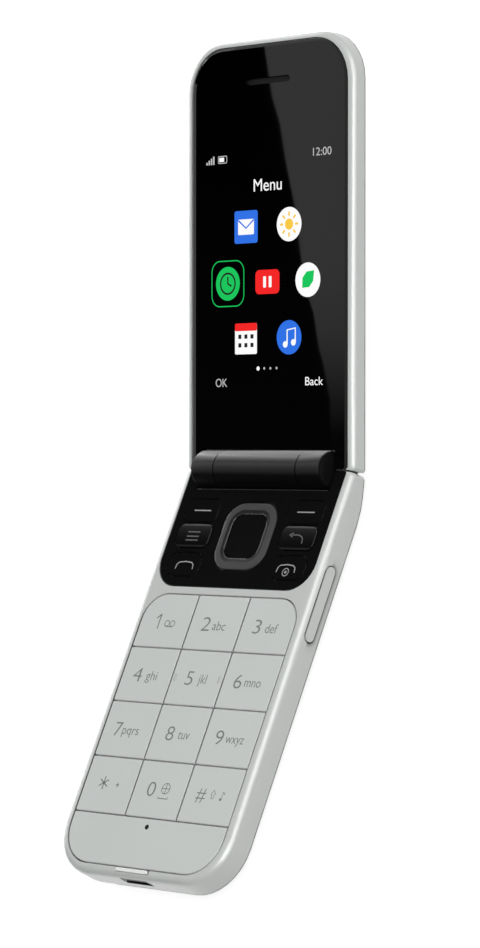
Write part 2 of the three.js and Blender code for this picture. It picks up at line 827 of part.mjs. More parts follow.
function jackBody(clearance) {
  const mouth = clearance > 0 ? jackMouth + overrun : jackMouth;
  const back = jackMouth - jackLength - clearance;
  const width = jackWidth + 2 * clearance;
  const reachLow = -jackAt - jackHeight / 2 - clearance;
  const reachHigh = -jackAt + jackHeight / 2 + clearance;
  return block(-(mouth + back) / 2, -jackReach, mouth - back, width, reachLow, reachHigh);
}

function headsetSocket() {
  const back = jackMouth - jackLength + wall;
  return jackBody(0).subtract(bar(jackRadius, -jackMouth - overrun, -back, -jackReach, -jackAt));
}

function usbBody(width, height, from, to) {
  const outline = roundedOutline(0, -usbAt, width, height, nearCorner);
  return prism(outline, from, to).rotate([90, 0, 0]);
}

function usbSocket() {
  const back = socketMouth - usbDepth;
  const shell = usbBody(usbWidth, usbHeight, back, socketMouth);
  return shell.subtract(usbBody(usbWidth - 2 * usbWall, usbHeight - 2 * usbWall, back + wall, socketMouth + overrun));
}

function rearChassis() {
  const jacketRadius = barrelRadius + 2 * gap + wall;
  const jacketHalf = barrelHalf + 2 * gap + wall;
  let chassis = crownForm(keypadHalf, wall + gap, () => -wall)
    .subtract(block(0, -keypadReach / 2, bodyWidth, keypadReach, -chassisTop, overrun));
  chassis = chassis.subtract(bar(jacketRadius, -jacketHalf, jacketHalf, 0, closedGap / 2, jacketSteps));
  const tongueClear = tongueReach + 2 * gap;
  chassis = chassis.subtract(block(0, -tongueClear / 2, 2 * barrelHalf + 2 * gap, tongueClear, -boardBottom - tongueThickness, overrun));
  chassis = chassis.subtract(batteryBox(gap)).subtract(cardBox(gap)).subtract(speakerBox(gap)).subtract(motor(gap));
  chassis = chassis.subtract(jackBody(gap));
  for (const side of [-1, 1]) {
    const hole = post(side * screwAcross, -screwReach, screwShank + gap, -keypadDepth, overrun);
    const counterbore = post(side * screwAcross, -screwReach, screwHead + gap, -keypadDepth, -screwHeadAt + gap);
    chassis = chassis.subtract(hole).subtract(counterbore);
  }
  return chassis;
}

function screw(side) {
  const head = post(side * screwAcross, -screwReach, screwHead, -screwHeadAt - screwHeadHeight, -screwHeadAt);
  const shank = post(side * screwAcross, -screwReach, screwShank, -screwHeadAt - screwHeadHeight / 2, -screwTip - gap);
  const cross = block(side * screwAcross, -screwReach, screwHead, screwShank / 2, -keypadDepth, -screwHeadAt - screwHeadHeight / 2);
  return head.add(shank).subtract(cross);
}

function batteryDoor() {
  const rim = (reach) => -sideDepth(keypadHalf, reach) - gap;
  const room = cavity(keypadHalf, 0);
  let door = crownForm(keypadHalf, 0, rim).subtract(room).subtract(trough());
  const root = tongue(keypadHalf, endTongueFrom, endTongueTo, gap);
  door = door.subtract(root).subtract(mirrored(root));
  for (let slot = 0; slot < speakerSlotCount; slot += 1) {
    const reach = speakerStart + speakerLength / 2 + (slot - (speakerSlotCount - 1) / 2) * speakerSlotPitch;
    const outline = roundedOutline(-speakerAt, -reach, speakerSlotLength, speakerSlotWidth, speakerSlotWidth / 2);
    door = door.subtract(prism(outline, -keypadDepth - overrun, -keypadSide));
  }
  const notch = block(-doorNotchAt, -keypadReach, doorNotchWidth, 2 * wall, -keypadSide - gap - doorNotchDepth, overrun);
  return door.subtract(notch);
}

// A knuckle of the barrel, bored for what turns in it.
function endKnuckle(side, boreRadius) {
  const outer = barrelHalf;
  const body = roundEndedBar(barrelRadius, knuckleFrom, outer, barrelEndRound, 0, closedGap / 2);
  const root = tongue(keypadHalf, endTongueFrom, endTongueTo, 0);
  const bore = bar(boreRadius, knuckleFrom - overrun, outer - capThickness, 0, closedGap / 2);
  const right = body.add(root).subtract(bore);
  return side > 0 ? right : mirrored(right);
}

function sideKey(side, reach, length) {
  const from = bodyWidth / 2 + sideKeyProud - sideKeyThickness;
  return sideSlot(side, reach, length, volumeHeight, volumeAt, from, bodyWidth / 2 + sideKeyProud, 0);
}

addPiece(keypad, "front_cover", frontCover(), silver);
addPiece(keypad, "control_panel", controlPanel(), glossBlack);
addPiece(keypad, "chin_panel", chinPanel(), keySilver);
addPiece(keypad, "keypad_web", keypadWeb(), innerPlastic);
addPiece(keypad, "dome_sheet", domeSheet(), bareSteel);
addPiece(keypad, "main_board", mainBoard(), boardGreen);
addPiece(keypad, "rear_chassis", rearChassis(), innerPlastic);
addPiece(keypad, "battery", batteryBox(0), cellGrey);
addPiece(keypad, "battery_door", batteryDoor(), silver);
addPiece(keypad, "card_holder", cardBox(0).subtract(block(
  0,
  -(cardStart + cardLength / 2 + wall),
  cardWidth - 2 * wall,
  cardLength,
  -batteryTop - (cardThickness + cardSlot) / 2,
  -batteryTop - (cardThickness - cardSlot) / 2,
)), bareSteel);
addPiece(keypad, "loudspeaker", speakerBox(0), innerPlastic);
addPiece(keypad, "vibration_motor", motor(0), bareSteel);
addPiece(keypad, "microphone", post(0, -microphoneReach, microphoneRadius, -boardTop, -boardTop + microphoneHeight), innerPlastic);
addPiece(keypad, "usb_socket", usbSocket(), bareSteel);
addPiece(keypad, "headset_socket", headsetSocket(), innerPlastic);
addPiece(keypad, "casing_screw_left", screw(-1), bareSteel);
addPiece(keypad, "casing_screw_right", screw(1), bareSteel);
addPiece(keypad, "hinge_knuckle_left", endKnuckle(-1, pinRadius + gap), glossBlack);
addPiece(keypad, "hinge_knuckle_right", endKnuckle(1, pinRadius + gap), glossBlack);
addPiece(keypad, "navigation_ring", navigationRing(), ringGrey);
addPiece(keypad, "navigation_rocker", rocker(), innerPlastic);
addPiece(keypad, "select_key", selectKey(), glossBlack);
addPiece(keypad, "volume_key", sideKey(1, volumeReach, volumeLength), silver);
addPiece(keypad, "side_key", sideKey(-1, sideKeyReach, sideKeyLength), silver);

for (const key of functionKeys) {
  addPiece(keypad, key.names[0], functionKey(-1, key), glossBlack);
  addPiece(keypad, key.names[1], functionKey(1, key), glossBlack);
}

const numberKeyNames = ["1", "2", "3", "4", "5", "6", "7", "8", "9", "star", "0", "hash"];
numberKeyNames.forEach((name, at) => {
  addPiece(keypad, `key_${name}`, numberKey(at % 3, Math.floor(at / 3)), keySilver);
});

// What turns in the barrel: the cartridge's head and the pivot tube stay with the keypad half.
const headOuter = barrelHalf - capThickness - gap;
const stemInner = knuckleFrom - cartridgeLength / 2;
const hingeHead = bar(pinRadius, -headOuter, -knuckleFrom, 0, closedGap / 2)
  .add(bar(stemRadius, -knuckleFrom - gap, -stemInner, 0, closedGap / 2));
const pivotTube = bar(pinRadius, stemInner, headOuter, 0, closedGap / 2)
  .subtract(bar(tubeBore, stemInner - overrun, headOuter + overrun, 0, closedGap / 2));
addPiece(keypad, "hinge_head", hingeHead, bareSteel);
addPiece(keypad, "pivot_tube", pivotTube, bareSteel);

// Display half

const display = new THREE.Group();
display.position.set(0, 0, -closedGap / 2);
const hingeLine = new THREE.Group();
hingeLine.position.set(0, keypadReach / 2, keypadDepth + closedGap / 2);
hingeLine.rotation.x = THREE.MathUtils.degToRad(180 - openDegrees);
hingeLine.add(display);
const centreHalf = seamAt - gap / 2;
const centreTongueHalf = centreHalf - tongueMargin;

function glassRing(inset, z) {
  const near = splitGap / 2;
  return symmetricRing(glassHalf - inset, near, glassEnd - inset, glassCorner - inset, [0], 1, () => z);
}

function displayGlass() {
  const pane = loft([
    glassRing(0, -glassThickness),
    glassRing(0, glassProud - glassBevelDepth),
    glassRing(glassBevel, glassProud),
  ]);
  const slot = roundedOutline(0, earpieceReach, earpieceSlotWidth, earpieceSlotHeight, earpieceSlotHeight / 2);
  return pane.subtract(trough()).subtract(prism(slot, -glassThickness - overrun, overrun));
}

function displayFrame() {
  const pocket = loft([glassRing(-gap, -shelfTop), glassRing(-gap, overrun)]);
  const screenWindow = block(
    0,
    screenStart + screenLength / 2,
    screenWidth + 2 * gap,
    screenLength + 2 * gap,
    -shelfBottom - overrun,
    overrun,
  );
  const earWindow = block(
    0,
    earpieceReach,
    earpieceWidth + 2 * gap,
    earpieceHeight + 2 * gap,
    -shelfBottom - overrun,
    overrun,
  );
  const root = tongue(displayHalf, -centreTongueHalf, centreTongueHalf, gap);
  return frameForm(displayHalf)
    .subtract(cavity(displayHalf, shelfBottom))
    .subtract(pocket)
    .subtract(screenWindow)
    .subtract(earWindow)
    .subtract(trough())
    .subtract(root);
}

function windowOutline(inset) {
  const centre = windowStart + windowLength / 2;
  return roundedOutline(0, centre, windowWidth - 2 * inset, windowLength - 2 * inset, windowCorner - inset);
}

function displayBackCover() {
  const rim = (reach) => -sideDepth(displayHalf, reach) - gap;
  const low = -displayDepth - overrun;
  const root = tongue(displayHalf, -centreTongueHalf, centreTongueHalf, gap);
  return crownForm(displayHalf, 0, rim)
    .subtract(cavity(displayHalf, 0))
    .subtract(trough())
    .subtract(root)
    .subtract(prism(windowOutline(-gap), low, -displayDepth + windowThickness + windowDrop))
    .subtract(prism(windowOutline(windowLedge), low, 0))
    .subtract(post(0, cameraReach, cameraGlassRadius + gap, low, -displayDepth + cameraGlassThickness + gap, 2 * smallRoundSteps))
    .subtract(post(0, cameraReach, cameraBarrel + gap, low, 0))
    .subtract(post(flashAt, cameraReach, flashRadius + gap, low, 0));
}

function displayBoard() {
  const centre = displayBoardStart + displayBoardLength / 2;
  const outline = roundedOutline(0, centre, displayBoardWidth, displayBoardLength, wall);
  const clear = post(magnetAt, magnetReach, magnetRadius + gap, -displayDepth, overrun);
  return prism(outline, -displayBoardTop - displayBoardThickness, -displayBoardTop).subtract(clear);
}

function cameraModule() {
  const body = block(0, cameraReach, cameraBody, cameraBody, -cameraSeat, -cameraTop);
  const barrelEnd = displayDepth - cameraGlassThickness - 2 * gap;
  return body.add(post(0, cameraReach, cameraBarrel, -barrelEnd, -cameraSeat + keyBevel));
}

function centreKnuckle() {
  const lift = closedGap / 2;
  const body = bar(barrelRadius, -centreHalf, centreHalf, 0, lift, roundSteps)
    .add(tongue(displayHalf, -centreTongueHalf, centreTongueHalf, 0));
  const round = bar(cartridgeRadius + gap, -centreHalf - overrun, -centreHalf + cartridgeLength + gap, 0, lift);
  const flat = block(0, 0, bodyWidth, barrelRadius * 2, lift + cartridgeFlat + gap, lift + barrelRadius);
  const tubeRoom = bar(pinRadius + gap, -centreHalf, centreHalf + overrun, 0, lift);
  return body.subtract(round.subtract(flat)).subtract(tubeRoom);
}

function hingeCartridge() {
  const lift = closedGap / 2;
  const body = bar(cartridgeRadius, -centreHalf, -centreHalf + cartridgeLength, 0, lift);
  const flat = block(0, 0, bodyWidth, barrelRadius * 2, lift + cartridgeFlat, lift + barrelRadius);
  const bore = bar(stemRadius + gap, -centreHalf - overrun, -stemInner + gap, 0, lift);
  return body.subtract(flat).subtract(bore);
}

const screenCentre = screenStart + screenLength / 2;
const windowCentre = windowStart + windowLength / 2;
addPiece(display, "display_frame", displayFrame(), silver);
addPiece(display, "display_glass", displayGlass(), glassBlack);
addPiece(display, "display_module", block(
  0,
  screenCentre,
  screenWidth,
  screenLength,
  -shelfTop - screenThickness,
  -shelfTop,
), glassBlack);
addPiece(display, "earpiece", block(
  0,
  earpieceReach,
  earpieceWidth,
  earpieceHeight,
  -shelfTop - earpieceThickness,
  -shelfTop,
), innerPlastic);
addPiece(display, "display_board", displayBoard(), boardGreen);
addPiece(display, "closing_magnet", post(magnetAt, magnetReach, magnetRadius, -shelfBottom - gap - magnetHeight, -shelfBottom - gap), bareSteel);
addPiece(display, "display_back_cover", displayBackCover(), silver);
addPiece(display, "outer_window", prism(
  windowOutline(0),
  -displayDepth + windowDrop,
  -displayDepth + windowThickness,
), glassBlack);
addPiece(display, "outer_display", block(
  0,
  windowCentre,
  outerScreenWidth,
  outerScreenLength,
  -outerScreenTop - outerScreenThickness,
  -outerScreenTop,
), glassBlack);
addPiece(display, "camera_module", cameraModule(), innerPlastic);
addPiece(display, "camera_glass", post(
  0,
  cameraReach,
  cameraGlassRadius,
  -displayDepth + windowDrop,
  -displayDepth + cameraGlassThickness,
  2 * smallRoundSteps,
), glassBlack);
addPiece(display, "flash_lens", post(flashAt, cameraReach, flashRadius, -displayDepth + windowDrop, -displayDepth + flashHeight), clearLens);
addPiece(display, "hinge_knuckle_centre", centreKnuckle(), glossBlack);
addPiece(display, "hinge_cartridge", hingeCartridge(), bareSteel);

const phone = new THREE.Group();
phone.add(keypad, hingeLine);

export default phone;
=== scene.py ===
import bpy
import math
from mathutils import Matrix, Vector


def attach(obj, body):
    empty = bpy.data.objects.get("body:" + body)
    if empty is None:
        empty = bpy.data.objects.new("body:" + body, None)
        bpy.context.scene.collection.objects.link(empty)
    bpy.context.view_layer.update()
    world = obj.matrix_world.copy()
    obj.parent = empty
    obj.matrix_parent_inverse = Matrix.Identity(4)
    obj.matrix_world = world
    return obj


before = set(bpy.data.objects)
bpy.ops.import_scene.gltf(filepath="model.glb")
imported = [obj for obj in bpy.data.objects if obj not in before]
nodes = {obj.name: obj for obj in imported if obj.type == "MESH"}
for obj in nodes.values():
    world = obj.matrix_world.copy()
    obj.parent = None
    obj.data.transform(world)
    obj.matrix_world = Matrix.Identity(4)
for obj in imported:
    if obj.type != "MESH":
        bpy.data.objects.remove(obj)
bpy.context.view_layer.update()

# The studio
# A white table top under the phone, an even grey-white sky, and soft boxes for the sheen of its edges.
# The camera stands to the right of the socket end with a long lens, as for a catalogue picture.
mm = 0.001
camera_data = bpy.data.cameras.new("camera")
camera_data.lens = 125.94
camera_data.sensor_width = 36
camera_data.shift_y = -0.02004
camera_data.clip_start = 0.01
camera_data.clip_end = 20
camera = bpy.data.objects.new("camera", camera_data)
bpy.context.scene.collection.objects.link(camera)
to_right = Vector((0.705192, 0.308269, -0.638494))
upward = Vector((-0.000862, 0.900907, 0.434012))
towards = Vector((0.709016, -0.305511, 0.635578))
stand = Vector((0.539072, -0.182807, 0.504102))
camera.matrix_world = Matrix((
    (to_right.x, upward.x, towards.x, stand.x),
    (to_right.y, upward.y, towards.y, stand.y),
    (to_right.z, upward.z, towards.z, stand.z),
    (0, 0, 0, 1),
))
bpy.context.scene.camera = camera
bpy.context.scene.view_settings.view_transform = "Standard"


class Wire:
    """One output of a material's nodes; sums with numbers or other outputs add their Math nodes."""

    def __init__(self, tree, socket=None):
        self.tree = tree
        self.socket = socket

    def node(self, kind, settings=None, sockets=None, output=0):
        made = self.tree.nodes.new("ShaderNode" + kind)
        for name, value in (settings or {}).items():
            if name == "stops":
                ramp = made.color_ramp
                while len(ramp.elements) < len(value):
                    ramp.elements.new(0.5)
                for stop, (place, colour) in zip(ramp.elements, value):
                    stop.position = place
                    stop.color = colour
            else:
                setattr(made, name, value)
        for name, value in (sockets or {}).items():
            if isinstance(value, Wire):
                self.tree.links.new(value.socket, made.inputs[name])
            else:
                made.inputs[name].default_value = value
        return Wire(self.tree, made.outputs[output] if made.outputs else None)

    def sum_of(self, operation, first, second):
        return self.node("Math", {"operation": operation}, {0: first, 1: second})

    def __add__(self, other):
        return self.sum_of("ADD", self, other)

    def __radd__(self, other):
        return self.sum_of("ADD", other, self)

    def __sub__(self, other):
        return self.sum_of("SUBTRACT", self, other)

    def __rsub__(self, other):
        return self.sum_of("SUBTRACT", other, self)

    def __mul__(self, other):
        return self.sum_of("MULTIPLY", self, other)

    def __rmul__(self, other):
        return self.sum_of("MULTIPLY", other, self)

    def __pow__(self, other):
        return self.sum_of("POWER", self, other)

    def __gt__(self, other):
        return self.sum_of("GREATER_THAN", self, other)

    def __lt__(self, other):
        return self.sum_of("LESS_THAN", self, other)

    def __or__(self, other):
        return self.sum_of("MAXIMUM", self, other)

    def __abs__(self):
        return self.sum_of("ABSOLUTE", self, 0)


def blank_material(name):
    material = bpy.data.materials.new(name)
    material.use_nodes = True
    material.node_tree.nodes.clear()
    return material, Wire(material.node_tree)


def grey(level):
    return (level, level, level, 1)


sky_level = 0.605
sky_across = -0.06
sky_along = 0.09
world = bpy.data.worlds.new("studio")
bpy.context.scene.world = world
world.use_nodes = True
world.node_tree.nodes.clear()
sky = Wire(world.node_tree)
direction = sky.node("TexCoord", output="Generated")
across = sky.node("SeparateXYZ", sockets={"Vector": direction}, output="X")
along = sky.node("SeparateXYZ", sockets={"Vector": direction}, output="Y")
sky_strength = sky_level + sky_across * across + sky_along * along
sky_light = sky.node("Background", sockets={"Color": grey(1), "Strength": sky_strength})
sky.node("OutputWorld", sockets={"Surface": sky_light})

floor_half = 30.0
floor_glow = 0.74
floor_mesh = bpy.data.meshes.new("floor")
floor_corners = [(x * floor_half, y * floor_half, 0) for x, y in ((-1, -1), (1, -1), (1, 1), (-1, 1))]
floor_mesh.from_pydata(floor_corners, [], [(0, 1, 2, 3)])
floor = bpy.data.objects.new("floor", floor_mesh)
bpy.context.scene.collection.objects.link(floor)
floor_finish, wire = blank_material("white_floor")
from_camera = wire.node("LightPath", output="Is Camera Ray")
from_gloss = wire.node("LightPath", output="Is Glossy Ray")
from_lens = wire.node("LightPath", output="Is Transmission Ray")
seen = from_camera + from_gloss + from_lens
matte = wire.node("BsdfDiffuse", sockets={"Color": grey(0.5)})
glow = wire.node("Emission", sockets={"Color": grey(1), "Strength": floor_glow * seen})
wire.node("OutputMaterial", sockets={"Surface": wire.node("AddShader", sockets={0: matte, 1: glow})})
floor_mesh.materials.append(floor_finish)


def lamp(name, place, target, along, width, length, radiance, sheen_only=False):
    """A soft box facing its target, its length along the given direction; radiance 1 is paper white."""
    data = bpy.data.lights.new(name, "AREA")
    data.shape = "RECTANGLE"
    data.size = width
    data.size_y = length
    data.energy = radiance * math.pi * width * length
    made = bpy.data.objects.new(name, data)
    bpy.context.scene.collection.objects.link(made)
    back = (Vector(place) - Vector(target)).normalized()
    side = Vector(along).cross(back).normalized()
    turn = Matrix((side, back.cross(side), back)).transposed().to_4x4()
    made.matrix_world = Matrix.Translation(place) @ turn
    made.visible_camera = False
    made.visible_diffuse = not sheen_only


lamp("long_box", (0.72, 0.05, 0.72), (0, 0.05, 0.02), (0, 1, 0), 0.5, 1.3, 2.2)
lamp("edge_box", (0.83, 0.05, 0.58), (0, 0.02, 0.02), (0, 1, 0), 1.5, 1.6, 3.6, sheen_only=True)
lamp("lid_edge_box", (0.86, -0.38, 0.64), (0, 0.1, 0.03), (0, 1, 0), 1.5, 0.6, 3.0, sheen_only=True)
lamp("back_box", (-0.78, 0.87, 0.27), (0, 0.14, 0.05), (1, 1, 0), 0.6, 0.3, 2.2, sheen_only=True)
lamp("left_box", (-0.9, 0.24, 0.11), (0, 0.04, 0.02), (0, 1, 0), 0.2, 0.62, 3.6)
lamp("low_strip", (-0.46, 0.45, 0.235), (0, 0.05, 0.012), (1, 0, 0), 0.9, 0.09, 0.5, sheen_only=True)

hinge_reach = 50.15
face_height = 11.2
half_gap = 0.3
open_angle = 25.7
keypad_place = Matrix.Translation((0, hinge_reach * mm, face_height * mm))
display_place = (
    Matrix.Translation((0, hinge_reach * mm, (face_height + half_gap) * mm))
    @ Matrix.Rotation(math.radians(open_angle), 4, "X")
    @ Matrix.Translation((0, 0, -half_gap * mm))
)

card_run = 0.1


def hidden_from_sight(piece):
    piece.visible_camera = False
    piece.visible_diffuse = False
    piece.visible_shadow = False


def card(name, place, outline, times_as_far, stops):
    """A studio card that only gloss sees, hung where the camera's sight is thrown by a flat face.

    The outline is in mm on that face, and the card hangs some times as far from the camera's mirror
    image as the face does; stops give its light along the face from the hinge to the card run.
    """
    normal = place.to_3x3() @ Vector((0, 0, 1))
    depth = (stand - place.translation).dot(normal)
    behind = stand - 2 * depth * normal
    mesh = bpy.data.meshes.new(name)
    mesh.from_pydata([(x * mm, y * mm, 0) for x, y in outline], [], [tuple(range(len(outline)))])
    made = bpy.data.objects.new(name, mesh)
    bpy.context.scene.collection.objects.link(made)
    made.matrix_world = (
        Matrix.Translation(behind * (1 - times_as_far))
        @ Matrix.Diagonal((times_as_far, times_as_far, times_as_far, 1))
        @ place
    )
    hidden_from_sight(made)
    finish, wire = blank_material(name)
    along = wire.node("SeparateXYZ", sockets={"Vector": wire.node("TexCoord", output="Object")}, output="Y")
    light = wire.node("ValToRGB", {"stops": stops}, {"Fac": 1 / card_run * along}, output="Color")
    wire.node("OutputMaterial", sockets={"Surface": wire.node("Emission", sockets={"Color": light})})
    mesh.materials.append(finish)


glare_edge = [
    (20.3, 4), (20, 16), (18, 24), (16.5, 28), (14.8, 36), (13, 40), (11, 48), (9, 60), (6.2, 70), (4, 80),
    (1.6, 86), (-1, 98), (-2, 108),
]
glare_outline = glare_edge + [(27, 108), (27, 4)]
glare_stops = [
    (0.08, grey(0.03)), (0.16, grey(0.17)), (0.24, grey(0.36)), (0.32, grey(0.52)), (0.48, grey(0.66)),
]
above_outline = [(-26, -14), (60, -14), (60, 130), (-26, 130)]
below_outline = [(-70, -34), (70, -34), (70, 40), (-70, 40)]
card("glare_card", display_place, glare_outline, 1.6, glare_stops)
card("dark_card_above", display_place, above_outline, 1.62, [(0, grey(0.02)), (1, grey(0.0))])
card("dark_card_below", keypad_place, below_outline, 1.62, [(0, grey(0.03)), (1, grey(0.03))])

# The black flag
# A curved black cloth that stands low on the left, so that the barrel's near side falls off into the dark.
flag_foot = 0.001
flag_top = 0.128
flag_line = [(-0.18, -0.035), (-0.165, -0.06), (-0.13, -0.10), (-0.08, -0.13), (-0.03, -0.15)]
flag_points = [(x, y, height) for height in (flag_foot, flag_top) for x, y in flag_line]
next_row = len(flag_line)
flag_faces = [(at, at + 1, at + 1 + next_row, at + next_row) for at in range(next_row - 1)]
flag_mesh = bpy.data.meshes.new("black_flag")
flag_mesh.from_pydata(flag_points, [], flag_faces)
flag = bpy.data.objects.new("black_flag", flag_mesh)
bpy.context.scene.collection.objects.link(flag)
hidden_from_sight(flag)
flag_cloth, wire = blank_material("black_flag")
wire.node("OutputMaterial", sockets={"Surface": wire.node("Emission", sockets={"Color": grey(0)})})
flag_mesh.materials.append(flag_cloth)

# Outer mouldings of both halves, with the two side keys
# Thin polycarbonate shells, painted a fine silver-grey and clear coated; the battery door and the
# display half's back clip on, so a dark parting line runs all the way round.
silver = (0.575, 0.600, 0.580, 1)
dull_silver = (0.540, 0.562, 0.544, 1)
casing_roughness = 0.36
casing_coat = 0.6
# Where the bare moulding shows, walls facing left and right are painted darker as painted shade, and walls
# facing the hinge and the socket end are painted pale as painted light.
bare_side_shade = 0.02
bare_end_light = 0.75
inner_wall_shade = 0.15


def split(wire, vector):
    """The three parts of a place on the phone, each in mm."""
    return [1 / mm * wire.node("SeparateXYZ", sockets={"Vector": vector}, output=part) for part in "XYZ"]


def mixed(wire, share, first, second):
    colours = {"Factor": share, "A": first, "B": second}
    return wire.node("Mix", {"data_type": "RGBA"}, colours, output="Result")


def painted(name, light, dull, roughness, coat, unpainted=None, side_wall_shade=bare_side_shade, shaded=None):
    """Silver paint over a bare moulding.

    unpainted tells from a place in mm where the moulding shows; there, faces to the left and right have
    side_wall_shade, a painted shade, and faces to the hinge and the socket end are pale, a painted light.
    shaded tells how much painted shade a place has, from 0 for the most to 1 for none.
    """
    material, wire = blank_material(name)
    place = wire.node("TexCoord", output="Object")
    flake = wire.node("TexNoise", sockets={"Vector": place, "Scale": 5200, "Detail": 1}, output="Fac")
    cloud = wire.node("TexNoise", sockets={"Vector": place, "Scale": 45, "Detail": 3}, output="Fac")
    colour = mixed(wire, 0.35 * flake + 0.65 * cloud, dull, light)
    if unpainted:
        bare = unpainted(*split(wire, place))
        facing = wire.node("TexCoord", output="Normal")
        endways = abs(wire.node("SeparateXYZ", sockets={"Vector": facing}, output="Y"))
        colour = mixed(wire, bare, colour, mixed(wire, endways, grey(side_wall_shade), grey(bare_end_light)))
        coat = coat - coat * bare
    if shaded:
        colour = mixed(wire, shaded(wire, *split(wire, place)), grey(0.004), colour)
    peel = wire.node("TexNoise", sockets={"Vector": place, "Scale": 900, "Detail": 2}, output="Fac")
    height = 0.6 * peel + 0.4 * flake
    shader = wire.node("BsdfPrincipled", sockets={
        "Base Color": colour,
        "Roughness": roughness - 0.04 + 0.08 * cloud,
        "Coat Weight": coat,
        "Coat Roughness": 0.28,
        "Normal": wire.node("Bump", sockets={"Strength": 0.12, "Distance": 0.00002, "Height": height}),
    })
    wire.node("OutputMaterial", sockets={"Surface": shader})
    return material


slot_wall = 27.05
slot_top = 9.7
slot_ends = (-38.2, 49.8)
mouth_half_width = 4.4
mouth_half_height = 1.5
mouth_height = 8.6
mouth_depth = -40
notch_corner = ((4.75, 5.5), (-48.9, -47.7), (10.7, 11.1))
pocket_corner = (15.8, 38.64)
pocket_radius = 9.487
pocket_top = 11.14


def within(part, limits):
    return (part > limits[0]) * (part < limits[1])


def in_hollow(x, y, z):
    """The slots of the keys in the side walls, the mouth of the socket, and a corner of the thumb notch."""
    slots = (abs(x) < slot_wall) * (z < slot_top) * within(y, slot_ends)
    mouth = (abs(x) < mouth_half_width) * (abs(z - mouth_height) < mouth_half_height) * (y < mouth_depth)
    corner = within(x, notch_corner[0]) * within(y, notch_corner[1]) * within(z, notch_corner[2])
    return slots | mouth | corner


def inside_cover(x, y, z):
    """The hollows and the pocket that the keys stand in, which has round corners at the socket end."""
    past_x = (abs(x) - pocket_corner[0]) | 0
    past_y = (-pocket_corner[1] - y) | 0
    rounded_in = past_x * past_x + past_y * past_y < pocket_radius ** 2
    pocket = rounded_in * (z < pocket_top) * (y < slot_ends[1])
    return pocket | in_hollow(x, y, z)


volume_key_middle = 18.65
volume_key_straight = 7.8
volume_key_foot = 8.0
shade_run = 4.0


def cover_shade(wire, x, y, z):
    """Painted shade: black in the hollows, and a painted shadow as a dark line below the long side key: 1 is
    none.
    """
    past_y = (abs(y - volume_key_middle) - volume_key_straight) | 0
    below = z - volume_key_foot
    off_line = 10 * (z > volume_key_foot + 0.1) + 10 * (x < 0)
    away = (past_y * past_y + below * below) ** 0.5 + off_line
    stops = [
        (0.1, grey(0.0)), (0.33, grey(0.28)), (0.44, grey(0.33)), (0.51, grey(0.6)), (0.61, grey(0.88)),
        (1, grey(1)),
    ]
    unshaded = 1 / shade_run * away * (1 - in_hollow(x, y, z))
    return wire.node("ValToRGB", {"stops": stops}, {"Fac": unshaded}, output="Color")


side_key_root = 27.08


def behind_wall(x, y, z):
    return abs(x) < side_key_root


shell_paint = painted("shell_paint", silver, dull_silver, casing_roughness, casing_coat)
cover_paint = painted(
    "cover_paint", silver, dull_silver, casing_roughness, casing_coat, inside_cover, inner_wall_shade,
    cover_shade,
)
side_key_silver = (0.60, 0.625, 0.60, 1)
dull_side_key = (0.57, 0.59, 0.57, 1)
side_key_paint = painted(
    "side_key_paint", side_key_silver, dull_side_key, casing_roughness, casing_coat, behind_wall,
)


def softened(crease):
    """A node group that welds a shell's triangles and leaves only its real creases sharp."""
    group = bpy.data.node_groups.new("softened", "GeometryNodeTree")
    group.interface.new_socket("Geometry", in_out="INPUT", socket_type="NodeSocketGeometry")
    group.interface.new_socket("Geometry", in_out="OUTPUT", socket_type="NodeSocketGeometry")
    start = group.nodes.new("NodeGroupInput")
    end = group.nodes.new("NodeGroupOutput")
    weld = group.nodes.new("GeometryNodeMergeByDistance")
    weld.inputs["Distance"].default_value = 0.002 * mm
    faces = group.nodes.new("GeometryNodeSetShadeSmooth")
    edges = group.nodes.new("GeometryNodeSetShadeSmooth")
    edges.domain = "EDGE"
    edges.inputs["Shade Smooth"].default_value = False
    angle = group.nodes.new("GeometryNodeInputMeshEdgeAngle")
    sharp = group.nodes.new("FunctionNodeCompare")
    sharp.operation = "GREATER_THAN"
    sharp.inputs["B"].default_value = crease
    group.links.new(start.outputs["Geometry"], weld.inputs["Geometry"])
    group.links.new(weld.outputs["Geometry"], faces.inputs["Geometry"])
    group.links.new(faces.outputs["Geometry"], edges.inputs["Geometry"])
    group.links.new(angle.outputs["Unsigned Angle"], sharp.inputs["A"])
    group.links.new(sharp.outputs["Result"], edges.inputs["Selection"])
    group.links.new(edges.outputs["Geometry"], end.inputs["Geometry"])
    return group


shell_crease = 38
shell_group = softened(math.radians(shell_crease))


def dress(names, material, group=shell_group):
    for name in names:
        node = nodes[name]
        node.data.materials.clear()
        node.data.materials.append(material)
        smooth = node.modifiers.new("softened", "NODES")
        smooth.node_group = group
        weigh = node.modifiers.new("weighted", "WEIGHTED_NORMAL")
        weigh.keep_sharp = True
        weigh.weight = 90


dress(["battery_door", "display_frame", "display_back_cover"], shell_paint)
dress(["front_cover"], cover_paint)
dress(["volume_key", "side_key"], side_key_paint)

# The lip in the thumb notch
# A pale bar in the thumb notch in the socket end; its pale paint is a painted highlight on the notch's lip.
lip_highlight = (0.88, 0.90, 0.88, 1)
dull_lip_highlight = (0.84, 0.86, 0.84, 1)
lip_highlight_paint = painted("lip_highlight_paint", lip_highlight, dull_lip_highlight, casing_roughness, casing_coat)


